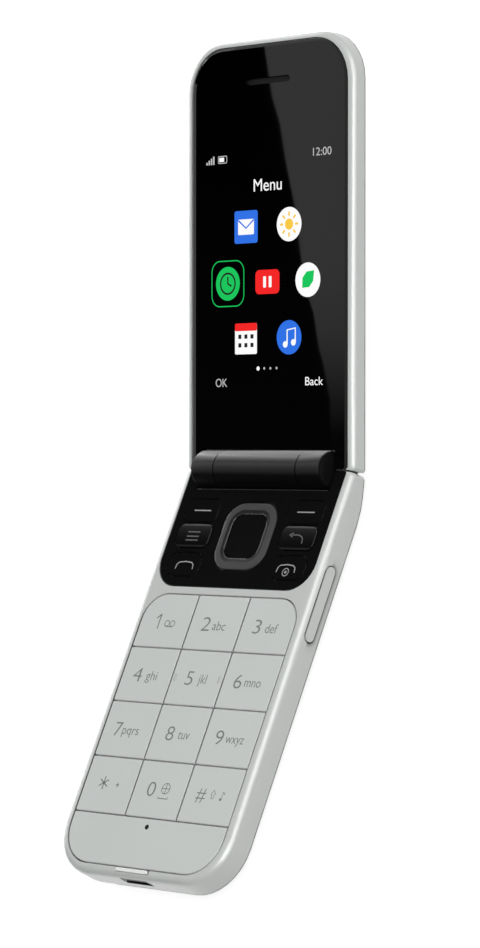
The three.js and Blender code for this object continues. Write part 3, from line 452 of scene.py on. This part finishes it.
def plate(name, loops, low, high, material, body, place=keypad_place, bevel=0.0):
    """A thin flat piece from closed loops of (x, reach) points in mm; inner loops are holes."""
    curve = bpy.data.curves.new(name, "CURVE")
    curve.dimensions = "2D"
    curve.fill_mode = "BOTH"
    curve.extrude = (high - low) / 2 * mm - bevel * mm
    curve.bevel_depth = bevel * mm
    curve.bevel_resolution = 1
    curve.offset = -bevel * mm
    for loop in loops:
        spline = curve.splines.new("POLY")
        spline.points.add(len(loop) - 1)
        for point, (x, y) in zip(spline.points, loop):
            point.co = (x * mm, y * mm, 0, 1)
        spline.use_cyclic_u = True
    curve.materials.append(material)
    piece = bpy.data.objects.new(name, curve)
    bpy.context.scene.collection.objects.link(piece)
    piece.matrix_world = place @ Matrix.Translation((0, 0, (low + high) / 2 * mm))
    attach(piece, body)
    return piece


def rounded(x, y, width, height, radius, steps=8):
    points = []
    for turn, (across, along) in enumerate(((1, 1), (-1, 1), (-1, -1), (1, -1))):
        for step in range(steps + 1):
            angle = math.pi / 2 * (turn + step / steps)
            points.append((
                x + across * (width / 2 - radius) + radius * math.cos(angle),
                y + along * (height / 2 - radius) + radius * math.sin(angle),
            ))
    return points


# The pale bar is a painted highlight on the notch's lip.
lip_outline = rounded(-0.35, -98.47, 10.1, 0.85, 0.25)
plate("notch_lip", [lip_outline], -0.43, -0.02, lip_highlight_paint, "keypad_half", bevel=0.06)

# The twelve number keys and the chin below them
# One silver-painted moulding a key, set edge to edge with a hairline seam; legends are printed in grey
# under a matt varnish, and a bar on each side of the middle key is felt by the thumb.
key_roughness = 0.45
key_coat = 0.15
key_silver = (0.615, 0.645, 0.624, 1)
dull_key = (0.575, 0.602, 0.583, 1)
# Below the key tops the bare walls are painted darker where they face left and right, a painted shade in the
# seams, and pale where they face the ends, a painted light.
key_wall_top = 11.16
key_wall_shade = 0.2
rib_silver = (0.48, 0.50, 0.485, 1)
dull_rib = (0.44, 0.46, 0.445, 1)


def below_key_top(x, y, z):
    return z < key_wall_top


key_paint = painted("key_paint", key_silver, dull_key, key_roughness, key_coat, below_key_top, key_wall_shade)
rib_paint = painted("rib_paint", rib_silver, dull_rib, key_roughness, key_coat)
number_keys = ["1", "2", "3", "4", "5", "6", "7", "8", "9", "star", "0", "hash"]
dress(["key_" + name for name in number_keys] + ["chin_panel"], key_paint)


def grained(name, first, second, scale, detail, roughness, spread, gloss=0.5, relief=None):
    """A plain finish whose colour, roughness and relief follow one noise.

    relief is a strength and a depth in mm.
    """
    material, wire = blank_material(name)
    place = wire.node("TexCoord", output="Object")
    grain = wire.node("TexNoise", sockets={"Vector": place, "Scale": scale, "Detail": detail}, output="Fac")
    sockets = {
        "Base Color": mixed(wire, grain, first, second),
        "Roughness": roughness + spread * grain if spread else roughness,
        "Specular IOR Level": gloss,
    }
    if relief:
        pits = {"Strength": relief[0], "Distance": relief[1] * mm, "Height": grain}
        sockets["Normal"] = wire.node("Bump", sockets=pits)
    wire.node("OutputMaterial", sockets={"Surface": wire.node("BsdfPrincipled", sockets=sockets)})
    return material


def printed(name, colour):
    light = tuple(min(1, part * 1.12) for part in colour[:3]) + (1,)
    return grained(name, colour, light, scale=3000, detail=2, roughness=0.5, spread=0.1)


legend_ink = printed("legend_ink", (0.17, 0.175, 0.172, 1))
capital_share = 0.72
ink_half = 0.008


def lettering(name, words, span, foot, height, low, material, body, place=keypad_place, thin=0.0):
    """Printed letters from left to right of a span, in mm, on the line that they stand on.

    height is a capital's, and thin is taken off each side of every stroke.
    """
    text = bpy.data.curves.new(name, "FONT")
    text.body = words
    text.size = height / capital_share * mm
    text.extrude = ink_half * mm
    text.offset = -thin * mm
    text.materials.append(material)
    piece = bpy.data.objects.new(name, text)
    bpy.context.scene.collection.objects.link(piece)
    bpy.context.view_layer.update()
    left = min(corner[0] for corner in piece.bound_box)
    right = max(corner[0] for corner in piece.bound_box)
    stretch = (span[1] - span[0]) * mm / (right - left)
    start = (span[0] * mm - left * stretch, foot * mm, (low + ink_half) * mm)
    piece.matrix_world = place @ Matrix.Translation(start) @ Matrix.Diagonal((stretch, 1, 1, 1))
    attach(piece, body)
    return piece


def circle(x, y, radius, steps=32):
    turn = 2 * math.pi / steps
    return [(x + radius * math.cos(turn * at), y + radius * math.sin(turn * at)) for at in range(steps)]


def ribbon(points, width, closed=False):
    """The outline of a pen stroke of one width along a line of points, with square ends."""
    left = []
    right = []
    count = len(points)
    for at, (x, y) in enumerate(points):
        before = points[at - 1] if at > 0 or closed else points[at]
        after = points[(at + 1) % count] if at + 1 < count or closed else points[at]
        along = Vector((after[0] - before[0], after[1] - before[1]))
        along.normalize()
        half = width / 2
        left.append((x - along.y * half, y + along.x * half))
        right.append((x + along.y * half, y - along.x * half))
    if closed:
        return [left, right]
    return [left + right[::-1]]


digit_height = 3.6
digit_feet = [-40.55, -53.9, -67.45, -80.9]
digits = {
    "2": ("2", (-4.3, -1.6)), "3": ("3", (12.3, 14.6)),
    "4": ("4", (-21.0, -18.2)), "5": ("5", (-3.6, -1.3)), "6": ("6", (12.0, 14.4)),
    "7": ("7", (-21.0, -18.7)), "8": ("8", (-3.8, -1.4)), "9": ("9", (12.0, 14.4)),
    "0": ("0", (-3.8, -1.3)), "hash": ("#", (12.0, 14.9)),
}
for name, (digit, span) in digits.items():
    foot = digit_feet[number_keys.index(name) // 3]
    lettering("legend_" + name, digit, span, foot, digit_height, 0, legend_ink, "key_" + name, thin=0.05)

letter_height = 2.35
letter_feet = [-40.25, -53.35, -66.9]
letters = {
    "2": ("abc", (-0.7, 3.4)), "3": ("def", (16.2, 19.9)),
    "4": ("ghi", (-16.7, -13.1)), "5": ("jkl", (0.6, 3.1)), "6": ("mno", (15.4, 20.4)),
    "7": ("pqrs", (-18.3, -12.9)), "8": ("tuv", (0.1, 3.7)), "9": ("wxyz", (15.3, 21.0)),
}
for name, (group, span) in letters.items():
    foot = letter_feet[number_keys.index(name) // 3]
    lettering("letters_" + name, group, span, foot, letter_height, 0, legend_ink, "key_" + name, thin=0.015)

ink_height = 0.016


def legend_mark(name, loops, body):
    plate(name, loops, 0, ink_height, legend_ink, body)


stem = ribbon([(-18.5, -36.9), (-18.5, -40.6)], 0.34)
legend_mark("legend_1", ribbon([(-19.7, -38.0), (-18.4, -37.0)], 0.32) + stem, "key_1")
star_x = -18.5
star_y = -78.9
star_arm = 1.6
for at in range(3):
    angle = math.radians(90 + 60 * at)
    reach_x = star_arm * math.cos(angle)
    reach_y = star_arm * math.sin(angle)
    ends = [(star_x - reach_x, star_y - reach_y), (star_x + reach_x, star_y + reach_y)]
    legend_mark(f"legend_star_{at + 1}", ribbon(ends, 0.3), "key_star")
spools = (-15.8, -14.0)
for at, x in enumerate(spools):
    legend_mark(f"voice_mark_{at + 1}", ribbon(circle(x, -39.2, 0.72), 0.22, closed=True), "key_1")
legend_mark("voice_mark_line", ribbon([(x, -39.98) for x in spools], 0.2), "key_1")
legend_mark("plus_across", ribbon([(-14.4, -79.1), (-13.3, -79.1)], 0.22), "key_star")
legend_mark("plus_up", ribbon([(-13.85, -79.65), (-13.85, -78.55)], 0.22), "key_star")
legend_mark("globe_rim", ribbon(circle(1.95, -78.8, 1.25), 0.2, closed=True), "key_0")
legend_mark("globe_line", ribbon([(1.95, -80.05), (1.95, -77.55)], 0.18), "key_0")
legend_mark("globe_belt", ribbon([(0.7, -78.8), (3.2, -78.8)], 0.18), "key_0")
legend_mark("space_mark", ribbon([(0.3, -80.75), (0.3, -81.2), (3.4, -81.2), (3.4, -80.75)], 0.22), "key_0")
arrow = [
    (17.1, -78.0), (17.85, -79.0), (17.45, -79.0), (17.45, -80.0), (16.75, -80.0), (16.75, -79.0),
    (16.35, -79.0),
]
legend_mark("shift_arrow", ribbon(arrow, 0.18, closed=True), "key_hash")
legend_mark("note_head", [circle(19.75, -80.0, 0.36, 16)], "key_hash")
legend_mark("note_stem", ribbon([(20.05, -80.0), (20.05, -78.2)], 0.16), "key_hash")
legend_mark("note_flag", ribbon([(20.05, -78.2), (20.7, -78.8)], 0.2), "key_hash")
for side in (-1, 1):
    rib = [rounded(side * 7.1, -52.2, 0.7, 1.8, 0.34)]
    plate(f"thumb_rib_{side + 2}", rib, 0, 0.12, rib_paint, "key_5", bevel=0.04)

# The control panel with its six function keys
# A glossy black moulding let into the silver face, with the menu and back keys standing just proud of it.
# Marks are printed light grey; the select key sits in the middle of the rocking ring.
black = (0.0030, 0.0030, 0.0031, 1)
pane_crease = 13
pane_group = softened(math.radians(pane_crease))
wall_top = 11.1
chamfer_foot = 11.08


def glossy_black(name, tone, roughness, gloss=0.5, edges=None, dull_below=None):
    """Piano black, with edges of another grey where a function of the place in mm says so.

    Below dull_below, in mm, the chamfers and walls are matt instead of glossy; the chamfers are painted a
    paler grey, a painted light in the seams, and the walls below them near black.
    """
    material, wire = blank_material(name)
    place = wire.node("TexCoord", output="Object")
    smear = wire.node("TexNoise", sockets={"Vector": place, "Scale": 120, "Detail": 4}, output="Fac")
    shade = mixed(wire, smear, tone, tuple(1.6 * part for part in tone[:3]) + (1,))
    if edges:
        shade = edges(wire, shade, *split(wire, place))
    ripple = wire.node("TexNoise", sockets={"Vector": place, "Scale": 260, "Detail": 1}, output="Fac")
    shader = wire.node("BsdfPrincipled", sockets={
        "Base Color": shade,
        "Roughness": roughness + 0.05 * smear,
        "Specular IOR Level": gloss,
        "Normal": wire.node("Bump", sockets={"Strength": 0.03, "Distance": 0.00002, "Height": ripple}),
    })
    if dull_below:
        height = split(wire, place)[2]
        matt = wire.node("BsdfPrincipled", sockets={
            # The chamfers are painted paler grey than the walls below, a painted light in the seams round
            # the keys.
            "Base Color": mixed(wire, height < chamfer_foot, grey(0.0035), grey(0.017)),
            "Roughness": 0.3 + 0.1 * smear,
            "Specular IOR Level": 0.0,
        })
        shader = wire.node("MixShader", sockets={"Fac": height < dull_below, 1: shader, 2: matt})
    wire.node("OutputMaterial", sockets={"Surface": shader})
    return material


def seam_light_walls(wire, shade, x, y, z):
    """The walls of the panel's key holes are painted a little paler than its face, a painted light in the
    seams round the keys.
    """
    return mixed(wire, z < wall_top, shade, grey(0.017))


proud_key_edge = 36.15
proud_key_top = 11.3
highlight_scale = 0.1724


def painted_edge_highlight(wire, shade, x, y, z):
    """Painted highlights: the menu and back keys go from grey at the edge towards the hinge to black, with a
    thin grey line at the edge towards the socket end.
    """
    stops = [
        (0.0, grey(0.10)), (0.06, grey(0.09)), (0.1, grey(0.026)), (0.3, grey(0.014)), (0.6, grey(0.007)),
        (0.9, grey(0.004)), (0.95, grey(0.02)),
    ]
    along_key = highlight_scale * (proud_key_edge - y)
    edge_highlight = wire.node("ValToRGB", {"stops": stops}, {"Fac": along_key}, output="Color")
    return mixed(wire, z > proud_key_top, shade, edge_highlight)


select_tone = (0.0036, 0.0036, 0.0037, 1)
flush_key_face = 11.195
panel_black = glossy_black("panel_black", black, roughness=0.02, edges=seam_light_walls)
key_black = glossy_black("key_black", black, roughness=0.06, gloss=0.07, edges=painted_edge_highlight)
select_black = glossy_black("select_black", select_tone, roughness=0.06, gloss=0.3)
flush_black = glossy_black("flush_key_black", black, roughness=0.02, dull_below=flush_key_face)
dress(["control_panel"], panel_black, pane_group)
dress(["menu_key", "back_key"], key_black, pane_group)
dress(["select_key"], select_black, pane_group)
dress(["left_soft_key", "right_soft_key", "call_key", "end_key"], flush_black, pane_group)

mark_grey = printed("mark_grey", grey(0.30))
mark_dim = printed("mark_dim", grey(0.09))
dash_y = -10.42
dash_half = 2.75
for side, body in ((-1, "left_soft_key"), (1, "right_soft_key")):
    dash = ribbon([(side * 16.75 - dash_half, dash_y), (side * 16.75 + dash_half, dash_y)], 0.3)
    plate("dash_" + body, dash, 0, ink_height, mark_grey, body)


def raised_mark(name, loops, body):
    """A mark on a key that stands proud of the panel."""
    proud = 0.25
    plate(name, loops, proud, proud + ink_height, mark_dim, body)


for at, y in enumerate((-16.05, -17.17, -18.14)):
    raised_mark(f"menu_bar_{at + 1}", ribbon([(-18.9, y), (-14.9, y)], 0.3), "menu_key")
back_line = [(14.7, -16.2), (17.2, -16.2), (18.2, -16.6), (18.7, -17.2), (18.8, -18.3)]
raised_mark("back_arrow", ribbon(back_line, 0.28), "back_key")
raised_mark("back_arrow_head", [[(14.1, -16.2), (15.3, -15.5), (15.3, -16.9)]], "back_key")
call_arc = [
    (-19.4, -25.4), (-19.2, -24.2), (-18.6, -23.7), (-16.6, -23.5), (-14.6, -23.7), (-13.9, -24.2),
    (-13.7, -25.4),
]
end_arc = [(x + 32.95, y + 0.05) for x, y in call_arc]
plate("call_arc", ribbon(call_arc, 0.28), 0, ink_height, mark_grey, "call_key")
plate("end_arc", ribbon(end_arc, 0.28), 0, ink_height, mark_grey, "end_key")
end_sign = (16.5, -25.3)
end_sign_height = 0.018
end_circle = ribbon(circle(*end_sign, 0.92), 0.22, closed=True)
plate("end_circle", end_circle, 0, end_sign_height, mark_grey, "end_key")
plate("end_dot", [circle(*end_sign, 0.35)], 0, end_sign_height, mark_grey, "end_key")

# The navigation ring
# A dark grey moulding with a soft sheen that rocks four ways, with a bright plated line round its inside.


def rising(wire, value, run):
    """From 0 to 1 as a value in mm goes from the first end of a run to the other."""
    return wire.node("MapRange", sockets={"Value": value, "From Min": run[0], "From Max": run[1]})


ring_middle = 33.45
ring_straight = 2.8
ring_corner = 3
ring_lip = (0.6, 1.0)
ring_lit_side = (-2, 4)
ring_finish, wire = blank_material("ring_grey")
place = wire.node("TexCoord", output="Object")
grain = wire.node("TexNoise", sockets={"Vector": place, "Scale": 700, "Detail": 3}, output="Fac")
x, y, z = split(wire, place)
past_x = (abs(x) - ring_straight) | 0
past_y = (abs(y - ring_middle) - ring_straight) | 0
outward = (past_x * past_x + past_y * past_y) ** 0.5 - ring_corner
# The ring's inner band is painted near black as painted shade, and on its side towards the right and the
# socket end that band takes the ring's grey as painted light.
lip = rising(wire, outward, ring_lip)
lit_side = rising(wire, x - (y - ring_middle), ring_lit_side)
shade = mixed(wire, grain, grey(0.030), grey(0.045))
shader = wire.node("BsdfPrincipled", sockets={
    "Base Color": mixed(wire, lip | lit_side, grey(0.006), shade),
    "Roughness": 0.2 + 0.15 * lip + 0.06 * grain,
})
wire.node("OutputMaterial", sockets={"Surface": shader})
dress(["navigation_ring"], ring_finish)

plated, wire = blank_material("plated_line")
place = wire.node("TexCoord", output="Object")
brush = wire.node("TexNoise", sockets={"Vector": place, "Scale": 1500, "Detail": 2}, output="Fac")
shader = wire.node("BsdfPrincipled", sockets={
    "Base Color": grey(0.42), "Metallic": 0.9, "Roughness": 0.22 + 0.1 * brush,
})
wire.node("OutputMaterial", sockets={"Surface": shader})
line_middle = ring_middle - hinge_reach
ring_line = [rounded(0, line_middle, 11.5, 11.5, 2.9), rounded(0, line_middle, 11.2, 11.2, 2.75)]
plate("select_line", ring_line, -0.12, -0.09, plated, "select_key")

# The hinge barrel
# Three glossy black knuckles on one line; the middle one belongs to the display half and hides the
# spring cartridge, the outer two stand on the keypad half. Their rear top is painted grey, a painted
# highlight, and a lighter strip on the panel's edge before them is a painted glint.
highlight_start = 50.6
highlight_floor = 13.3
highlight_run = 4.0
lit_end = (20.2, 20.7)
trough_mouth = (49.6, 47.2)
barrel_black, wire = blank_material("barrel_black")
place = wire.node("TexCoord", output="Object")
grain = wire.node("TexNoise", sockets={"Vector": place, "Scale": 1800, "Detail": 2}, output="Fac")
x, y, z = split(wire, place)
# A painted highlight: on the knuckles' rear top the black turns to mid grey away from the axis.
stops = [(0.1, grey(0.003)), (0.35, grey(0.02)), (0.47, grey(0.12)), (0.58, grey(0.3)), (0.75, grey(0.5))]
past_axis = 1 / highlight_run * (y - hinge_reach)
rear_highlight = wire.node("ValToRGB", {"stops": stops}, {"Fac": past_axis}, output="Color")
dark_skin = mixed(wire, grain, grey(0.0015), grey(0.003))
skin = wire.node("BsdfPrincipled", sockets={
    "Base Color": mixed(wire, (y > highlight_start) * (z > highlight_floor), dark_skin, rear_highlight),
    "Roughness": 0.3 + 0.04 * grain,
    "Specular IOR Level": 0.8,
    "Normal": wire.node("Bump", sockets={"Strength": 0.05, "Distance": 0.00001, "Height": grain}),
})
hidden_skin = wire.node("BsdfPrincipled", sockets={
    "Base Color": mixed(wire, grain, grey(0.002), grey(0.0035)),
    "Roughness": 0.4 + 0.1 * grain,
    "Specular IOR Level": 0.03,
})
at_end = rising(wire, abs(x), lit_end)
in_trough = rising(wire, y, trough_mouth)
shader = wire.node("MixShader", sockets={"Fac": at_end | in_trough, 1: skin, 2: hidden_skin})
wire.node("OutputMaterial", sockets={"Surface": shader})
dress(["hinge_knuckle_left", "hinge_knuckle_right", "hinge_knuckle_centre"], barrel_black)
# A lighter strip printed along the panel's edge before the barrel: a painted glint.
edge_glint = printed("panel_edge_glint", grey(0.012))
edge_strip = [(-21, -4.84), (21.2, -4.84), (21.2, -5.0), (-21, -5.0)]
plate("panel_hinge_edge", [edge_strip], 0, 0.02, edge_glint, "keypad_half")

# Hinge gap shades
# Black strips beside the barrel, stuck to the keypad half in the wedge between the casings: painted shade
# that darkens the gap.
gap_shade_dark = grey(0.004)
gap_shade_light = grey(0.009)
hinge_gap_shade = grained(
    "hinge_gap_shade", gap_shade_dark, gap_shade_light, scale=1700, detail=2, roughness=0.55, spread=0.1,
    gloss=0.2,
)
sideways = Matrix(((0, 0, 1, 0), (1, 0, 0, 0), (0, 1, 0, 0), (0, 0, 0, 1)))
gap_shade_line = [(49.9, 10.75), (50.4, 10.75), (51.2, 9.0), (51.2, 7.6), (49.9, 7.6)]
plate("hinge_gap_shade_left", [gap_shade_line], -25.2, -21.6, hinge_gap_shade, "keypad_half", sideways)
plate("hinge_gap_shade_right", [gap_shade_line], 21.6, 25.2, hinge_gap_shade, "keypad_half", sideways)

# The display half's glass, with what its screen shows
# A pane printed black behind, proud of its frame by a hair; the screen under it shows a plain menu
# of coloured marks, with a few words and a row of small signs.
pane_straight = 15
pane_corner_reach = 88.4
pane_edge = 8.75
pane_bend_end = 91
edge_slope = 0.00018
glass_black, wire = blank_material("glass_black")
place = wire.node("TexCoord", output="Object")
film = wire.node("TexNoise", sockets={"Vector": place, "Scale": 60, "Detail": 3}, output="Fac")
shade = mixed(wire, film, grey(0.0001), grey(0.0003))
lid_turn = {
    "Location": (0, hinge_reach * mm, (face_height + half_gap) * mm),
    "Rotation": (math.radians(open_angle), 0, 0),
}
x, y, z = split(wire, wire.node("Mapping", {"vector_type": "TEXTURE"}, {"Vector": place, **lid_turn}))
past_x = (abs(x) - pane_straight) | 0
past_y = (y - pane_corner_reach) | 0
near_left_edge = (x < 0) * (y < pane_bend_end)
from_edge = (((past_x * past_x + past_y * past_y) ** 0.5 - pane_edge) | 0) * near_left_edge
edge_turn = wire.node("Bump", sockets={"Strength": 1.0, "Distance": 1.0, "Height": -edge_slope * from_edge})
shader = wire.node("BsdfPrincipled", sockets={
    "Base Color": shade, "Roughness": 0.01 + 0.02 * film, "Normal": edge_turn,
})
wire.node("OutputMaterial", sockets={"Surface": shader})
dress(["display_glass", "outer_window", "camera_glass"], glass_black, pane_group)


def lit(name, colour):
    """A colour that the screen gives off by itself, over a dark ground, in rows of fine dots."""
    material, wire = blank_material(name)
    place = wire.node("TexCoord", output="Object")
    row = wire.node("TexWave", {"bands_direction": "Y"}, {"Vector": place, "Scale": 900}, output="Fac")
    dim = tuple(part * 0.94 for part in colour) + (1,)
    shader = wire.node("BsdfPrincipled", sockets={
        "Base Color": grey(0.01),
        "Roughness": 0.2,
        "Specular IOR Level": 0.1,
        "Emission Color": mixed(wire, row, dim, colour + (1,)),
        "Emission Strength": 1.0,
    })
    wire.node("OutputMaterial", sockets={"Surface": shader})
    return material


screen_green = lit("screen_green", (0.0, 0.57, 0.1))
screen_blue = lit("screen_blue", (0.02, 0.16, 0.80))
screen_red = lit("screen_red", (0.92, 0.01, 0.01))
screen_yellow = lit("screen_yellow", (0.95, 0.60, 0.05))
screen_white = lit("screen_white", (1.0, 1.0, 1.0))
screen_grey = lit("screen_grey", (0.50, 0.50, 0.50))
screen_dark = lit("screen_dark", (0.006, 0.006, 0.007))
glass_top = 0.15
layer_height = 0.012


def screen_mark(name, loops, material, layer=0):
    low = glass_top + layer_height * layer
    return plate(name, loops, low, low + layer_height, material, "display_half", display_place)


icon_half = 3.95
inner_column = 7
outer_column = 13
top_row = 56.5
middle_row = 43.5
bottom_row = 30.5
screen_mark("icon_envelope_tile", [rounded(-inner_column, top_row, 7.6, 7.6, 0.6)], screen_blue)
screen_mark("icon_envelope_paper", [rounded(-inner_column, top_row, 5.2, 3.6, 0.3)], screen_white, 1)
screen_mark("icon_envelope_fold", ribbon([(-9.5, 58.1), (-7, 56.2), (-4.5, 58.1)], 0.4), screen_blue, 2)
screen_mark("icon_sun_disc", [circle(inner_column, top_row, icon_half, 48)], screen_white)
screen_mark("icon_sun_middle", [circle(inner_column, top_row, 1.3)], screen_yellow, 1)
for ray_at in range(8):
    angle = math.pi / 4 * ray_at
    ray_x = math.cos(angle)
    ray_y = math.sin(angle)
    ends = [(inner_column + reach * ray_x, top_row + reach * ray_y) for reach in (1.9, 2.9)]
    screen_mark(f"icon_sun_ray_{ray_at + 1}", ribbon(ends, 0.5), screen_yellow, 1)
screen_mark("icon_clock_disc", [circle(-outer_column, middle_row, icon_half, 48)], screen_green)
clock_rim = ribbon(circle(-outer_column, middle_row, 2.4, 40), 0.45, closed=True)
screen_mark("icon_clock_rim", clock_rim, screen_dark, 1)
screen_mark("icon_clock_hands", ribbon([(-13, 45.1), (-13, 43.5), (-11.8, 42.9)], 0.45), screen_dark, 1)
screen_mark("icon_play_tile", [rounded(0, middle_row, 7.8, 5.6, 1.2)], screen_red)
play_bars = [rounded(x, middle_row, 0.9, 2.6, 0.2) for x in (-0.9, 0.9)]
screen_mark("icon_play_bars", play_bars, screen_white, 1)
screen_mark("icon_leaf_disc", [circle(outer_column, middle_row, icon_half, 48)], screen_white)
leaf = [(11.2, 41.7), (11.3, 44), (12.6, 45.4), (15, 45.6), (14.7, 43.2), (13.4, 41.8)]
screen_mark("icon_leaf", [leaf], screen_green, 1)
screen_mark("icon_page_tile", [rounded(-inner_column, bottom_row, 7.2, 7.2, 0.4)], screen_white)
screen_mark("icon_page_head", [rounded(-inner_column, 33.2, 7.2, 1.8, 0.4)], screen_red, 1)
for row in range(2):
    for column in range(3):
        spot = rounded(-9 + 2 * column, 31 - 2 * row, 1.0, 1.0, 0.1)
        screen_mark(f"icon_page_day_{row + 1}_{column + 1}", [spot], screen_dark, 1)
screen_mark("icon_note_disc", [circle(inner_column, bottom_row, icon_half, 48)], screen_blue)
screen_mark("icon_note_heads", [circle(5.8, 28.9, 0.75), circle(8.4, 29.3, 0.75)], screen_white, 1)
note_stems = ribbon([(6.4, 28.9), (6.4, 32.2), (9.0, 32.6), (9.0, 29.3)], 0.4)
screen_mark("icon_note_stems", note_stems, screen_white, 1)
chosen = ribbon(rounded(-outer_column, middle_row, 10.6, 10.6, 2.6), 0.25, closed=True)
screen_mark("chosen_outline", chosen, screen_green, 1)
for at in range(4):
    radius, material = (0.5, screen_white) if at == 0 else (0.3, screen_grey)
    screen_mark(f"page_dot_{at + 1}", [circle(-3 + 2 * at, 23.5, radius, 16)], material)
for at in range(4):
    bar_height = 0.6 + 0.45 * at
    bar = rounded(-20 + 0.75 * at, 71.6 + bar_height / 2, 0.5, bar_height, 0.05)
    screen_mark(f"signal_bar_{at + 1}", [bar], screen_grey)
screen_mark("battery_mark", ribbon(rounded(-14.8, 72.6, 2.8, 1.6, 0.2, 2), 0.2, closed=True), screen_grey)
screen_mark("battery_fill", [rounded(-15.1, 72.6, 1.6, 1.0, 0.1, 2)], screen_white)
words = [
    ("screen_time", "12:00", (14.6, 20.4), 71.7, 1.9, screen_grey),
    ("screen_title", "Menu", (-4.5, 4.6), 64.6, 3.0, screen_white),
    ("screen_left_word", "OK", (-17, -13.2), 19.4, 2.0, screen_grey),
    ("screen_right_word", "Back", (12.2, 17.8), 19.4, 2.0, screen_white),
]
for name, said, span, foot, height, colour in words:
    lettering(name, said, span, foot, height, glass_top, colour, "display_half", display_place)

# The microphone's pinhole and the earpiece's mesh
# A black disc on the chin over the pinhole, painted shade for the dark hole, and fine black cloth in
# the slot near the end of the glass.
mesh_black_and_hole_shade, wire = blank_material("speaker_mesh_and_hole_shade")
place = wire.node("TexCoord", output="Object")
weave = {"Vector": place, "Scale": 2600, "Randomness": 0.1}
holes = wire.node("TexVoronoi", {"feature": "F1"}, weave, output="Distance")
stops = [(0.2, grey(0.0004)), (0.5, grey(0.004))]
shader = wire.node("BsdfPrincipled", sockets={
    "Base Color": wire.node("ValToRGB", {"stops": stops}, {"Fac": holes}, output="Color"),
    "Roughness": 0.5,
    "Specular IOR Level": 0.2,
})
wire.node("OutputMaterial", sockets={"Surface": shader})
hole_shade_height = 0.012
# A black disc over the pinhole in the chin: painted shade for the dark hole.
plate("microphone_hole_shade", [circle(0, -88.14, 0.6)], 0, hole_shade_height, mesh_black_and_hole_shade, "keypad_half")
slot_outline = rounded(0, 90.1, 14.2, 1.3, 0.65)
plate("earpiece_mesh", [slot_outline], -0.9, -0.6, mesh_black_and_hole_shade, "display_half", display_place)

# Carriers and sockets behind the shells
# Dark moulded plastic that shows only through holes and gaps, and the grey silicone web round the keys.
plastic_dark = (0.012, 0.012, 0.013, 1)
plastic_light = (0.022, 0.022, 0.023, 1)
rubber_dark = (0.30, 0.305, 0.30, 1)
rubber_light = (0.36, 0.365, 0.36, 1)
dark_plastic = grained(
    "dark_plastic", plastic_dark, plastic_light, scale=2200, detail=2, roughness=0.5, spread=0.15,
    relief=(0.25, 0.03),
)
web_rubber = grained("web_rubber", rubber_dark, rubber_light, scale=1400, detail=2, roughness=0.7, spread=0)
dress(["keypad_web"], web_rubber)
dress([
    "rear_chassis", "loudspeaker", "microphone", "headset_socket", "navigation_rocker", "earpiece",
    "camera_module", "usb_socket",
], dark_plastic)

# Steel parts
# Pressed domes, cans and clips, turned screws and the parts of the hinge, all plain brushed steel.
steel, wire = blank_material("plain_steel")
place = wire.node("TexCoord", output="Object")
long_grain = wire.node("Mapping", {"vector_type": "POINT"}, {"Vector": place, "Scale": (300, 6000, 6000)})
grain = wire.node("TexNoise", sockets={"Vector": long_grain, "Scale": 1, "Detail": 3}, output="Fac")
shader = wire.node("BsdfPrincipled", sockets={
    "Base Color": mixed(wire, grain, (0.40, 0.40, 0.41, 1), (0.55, 0.55, 0.56, 1)),
    "Metallic": 1.0,
    "Roughness": 0.25 + 0.2 * grain,
})
wire.node("OutputMaterial", sockets={"Surface": shader})
dress([
    "dome_sheet", "card_holder", "vibration_motor", "casing_screw_left", "casing_screw_right",
    "hinge_head", "pivot_tube", "hinge_cartridge", "closing_magnet",
], steel)

# Circuit boards
# Green varnished glass fibre, one in each half, with paler lines where the copper runs.
board_green, wire = blank_material("board_green")
place = wire.node("TexCoord", output="Object")
cells = {"Vector": place, "Scale": 500}
tracks = wire.node("TexVoronoi", {"feature": "DISTANCE_TO_EDGE"}, cells, output="Distance")
stops = [(0.03, (0.03, 0.16, 0.07, 1)), (0.08, (0.008, 0.06, 0.03, 1))]
shade = wire.node("ValToRGB", {"stops": stops}, {"Fac": tracks}, output="Color")
shader = wire.node("BsdfPrincipled", sockets={"Base Color": shade, "Roughness": 0.35})
wire.node("OutputMaterial", sockets={"Surface": shader})
dress(["main_board", "display_board"], board_green)

# Battery and display modules
# A flat cell in a crinkled dark wrap behind the door; the two display modules are black glass.
wrap_dark = (0.07, 0.08, 0.09, 1)
wrap_light = (0.10, 0.11, 0.12, 1)
cell_wrap = grained(
    "cell_wrap", wrap_dark, wrap_light, scale=400, detail=4, roughness=0.4, spread=0.1, relief=(0.2, 0.05),
)
dress(["battery"], cell_wrap)
dress(["display_module", "outer_display"], glass_black)

# The flash lens
# A pale yellow moulded lens with fine rings, set flush beside the camera glass.
lens_clear, wire = blank_material("lens_clear")
place = wire.node("TexCoord", output="Object")
rings = {"wave_type": "RINGS", "rings_direction": "Z"}
ripple = wire.node("TexWave", rings, {"Vector": place, "Scale": 900}, output="Fac")
shader = wire.node("BsdfPrincipled", sockets={
    "Base Color": mixed(wire, ripple, (0.75, 0.70, 0.50, 1), (0.85, 0.83, 0.72, 1)),
    "Roughness": 0.1 + 0.05 * ripple,
    "Normal": wire.node("Bump", sockets={"Strength": 0.4, "Distance": 0.00005, "Height": ripple}),
})
wire.node("OutputMaterial", sockets={"Surface": shader})
dress(["flash_lens"], lens_clear)
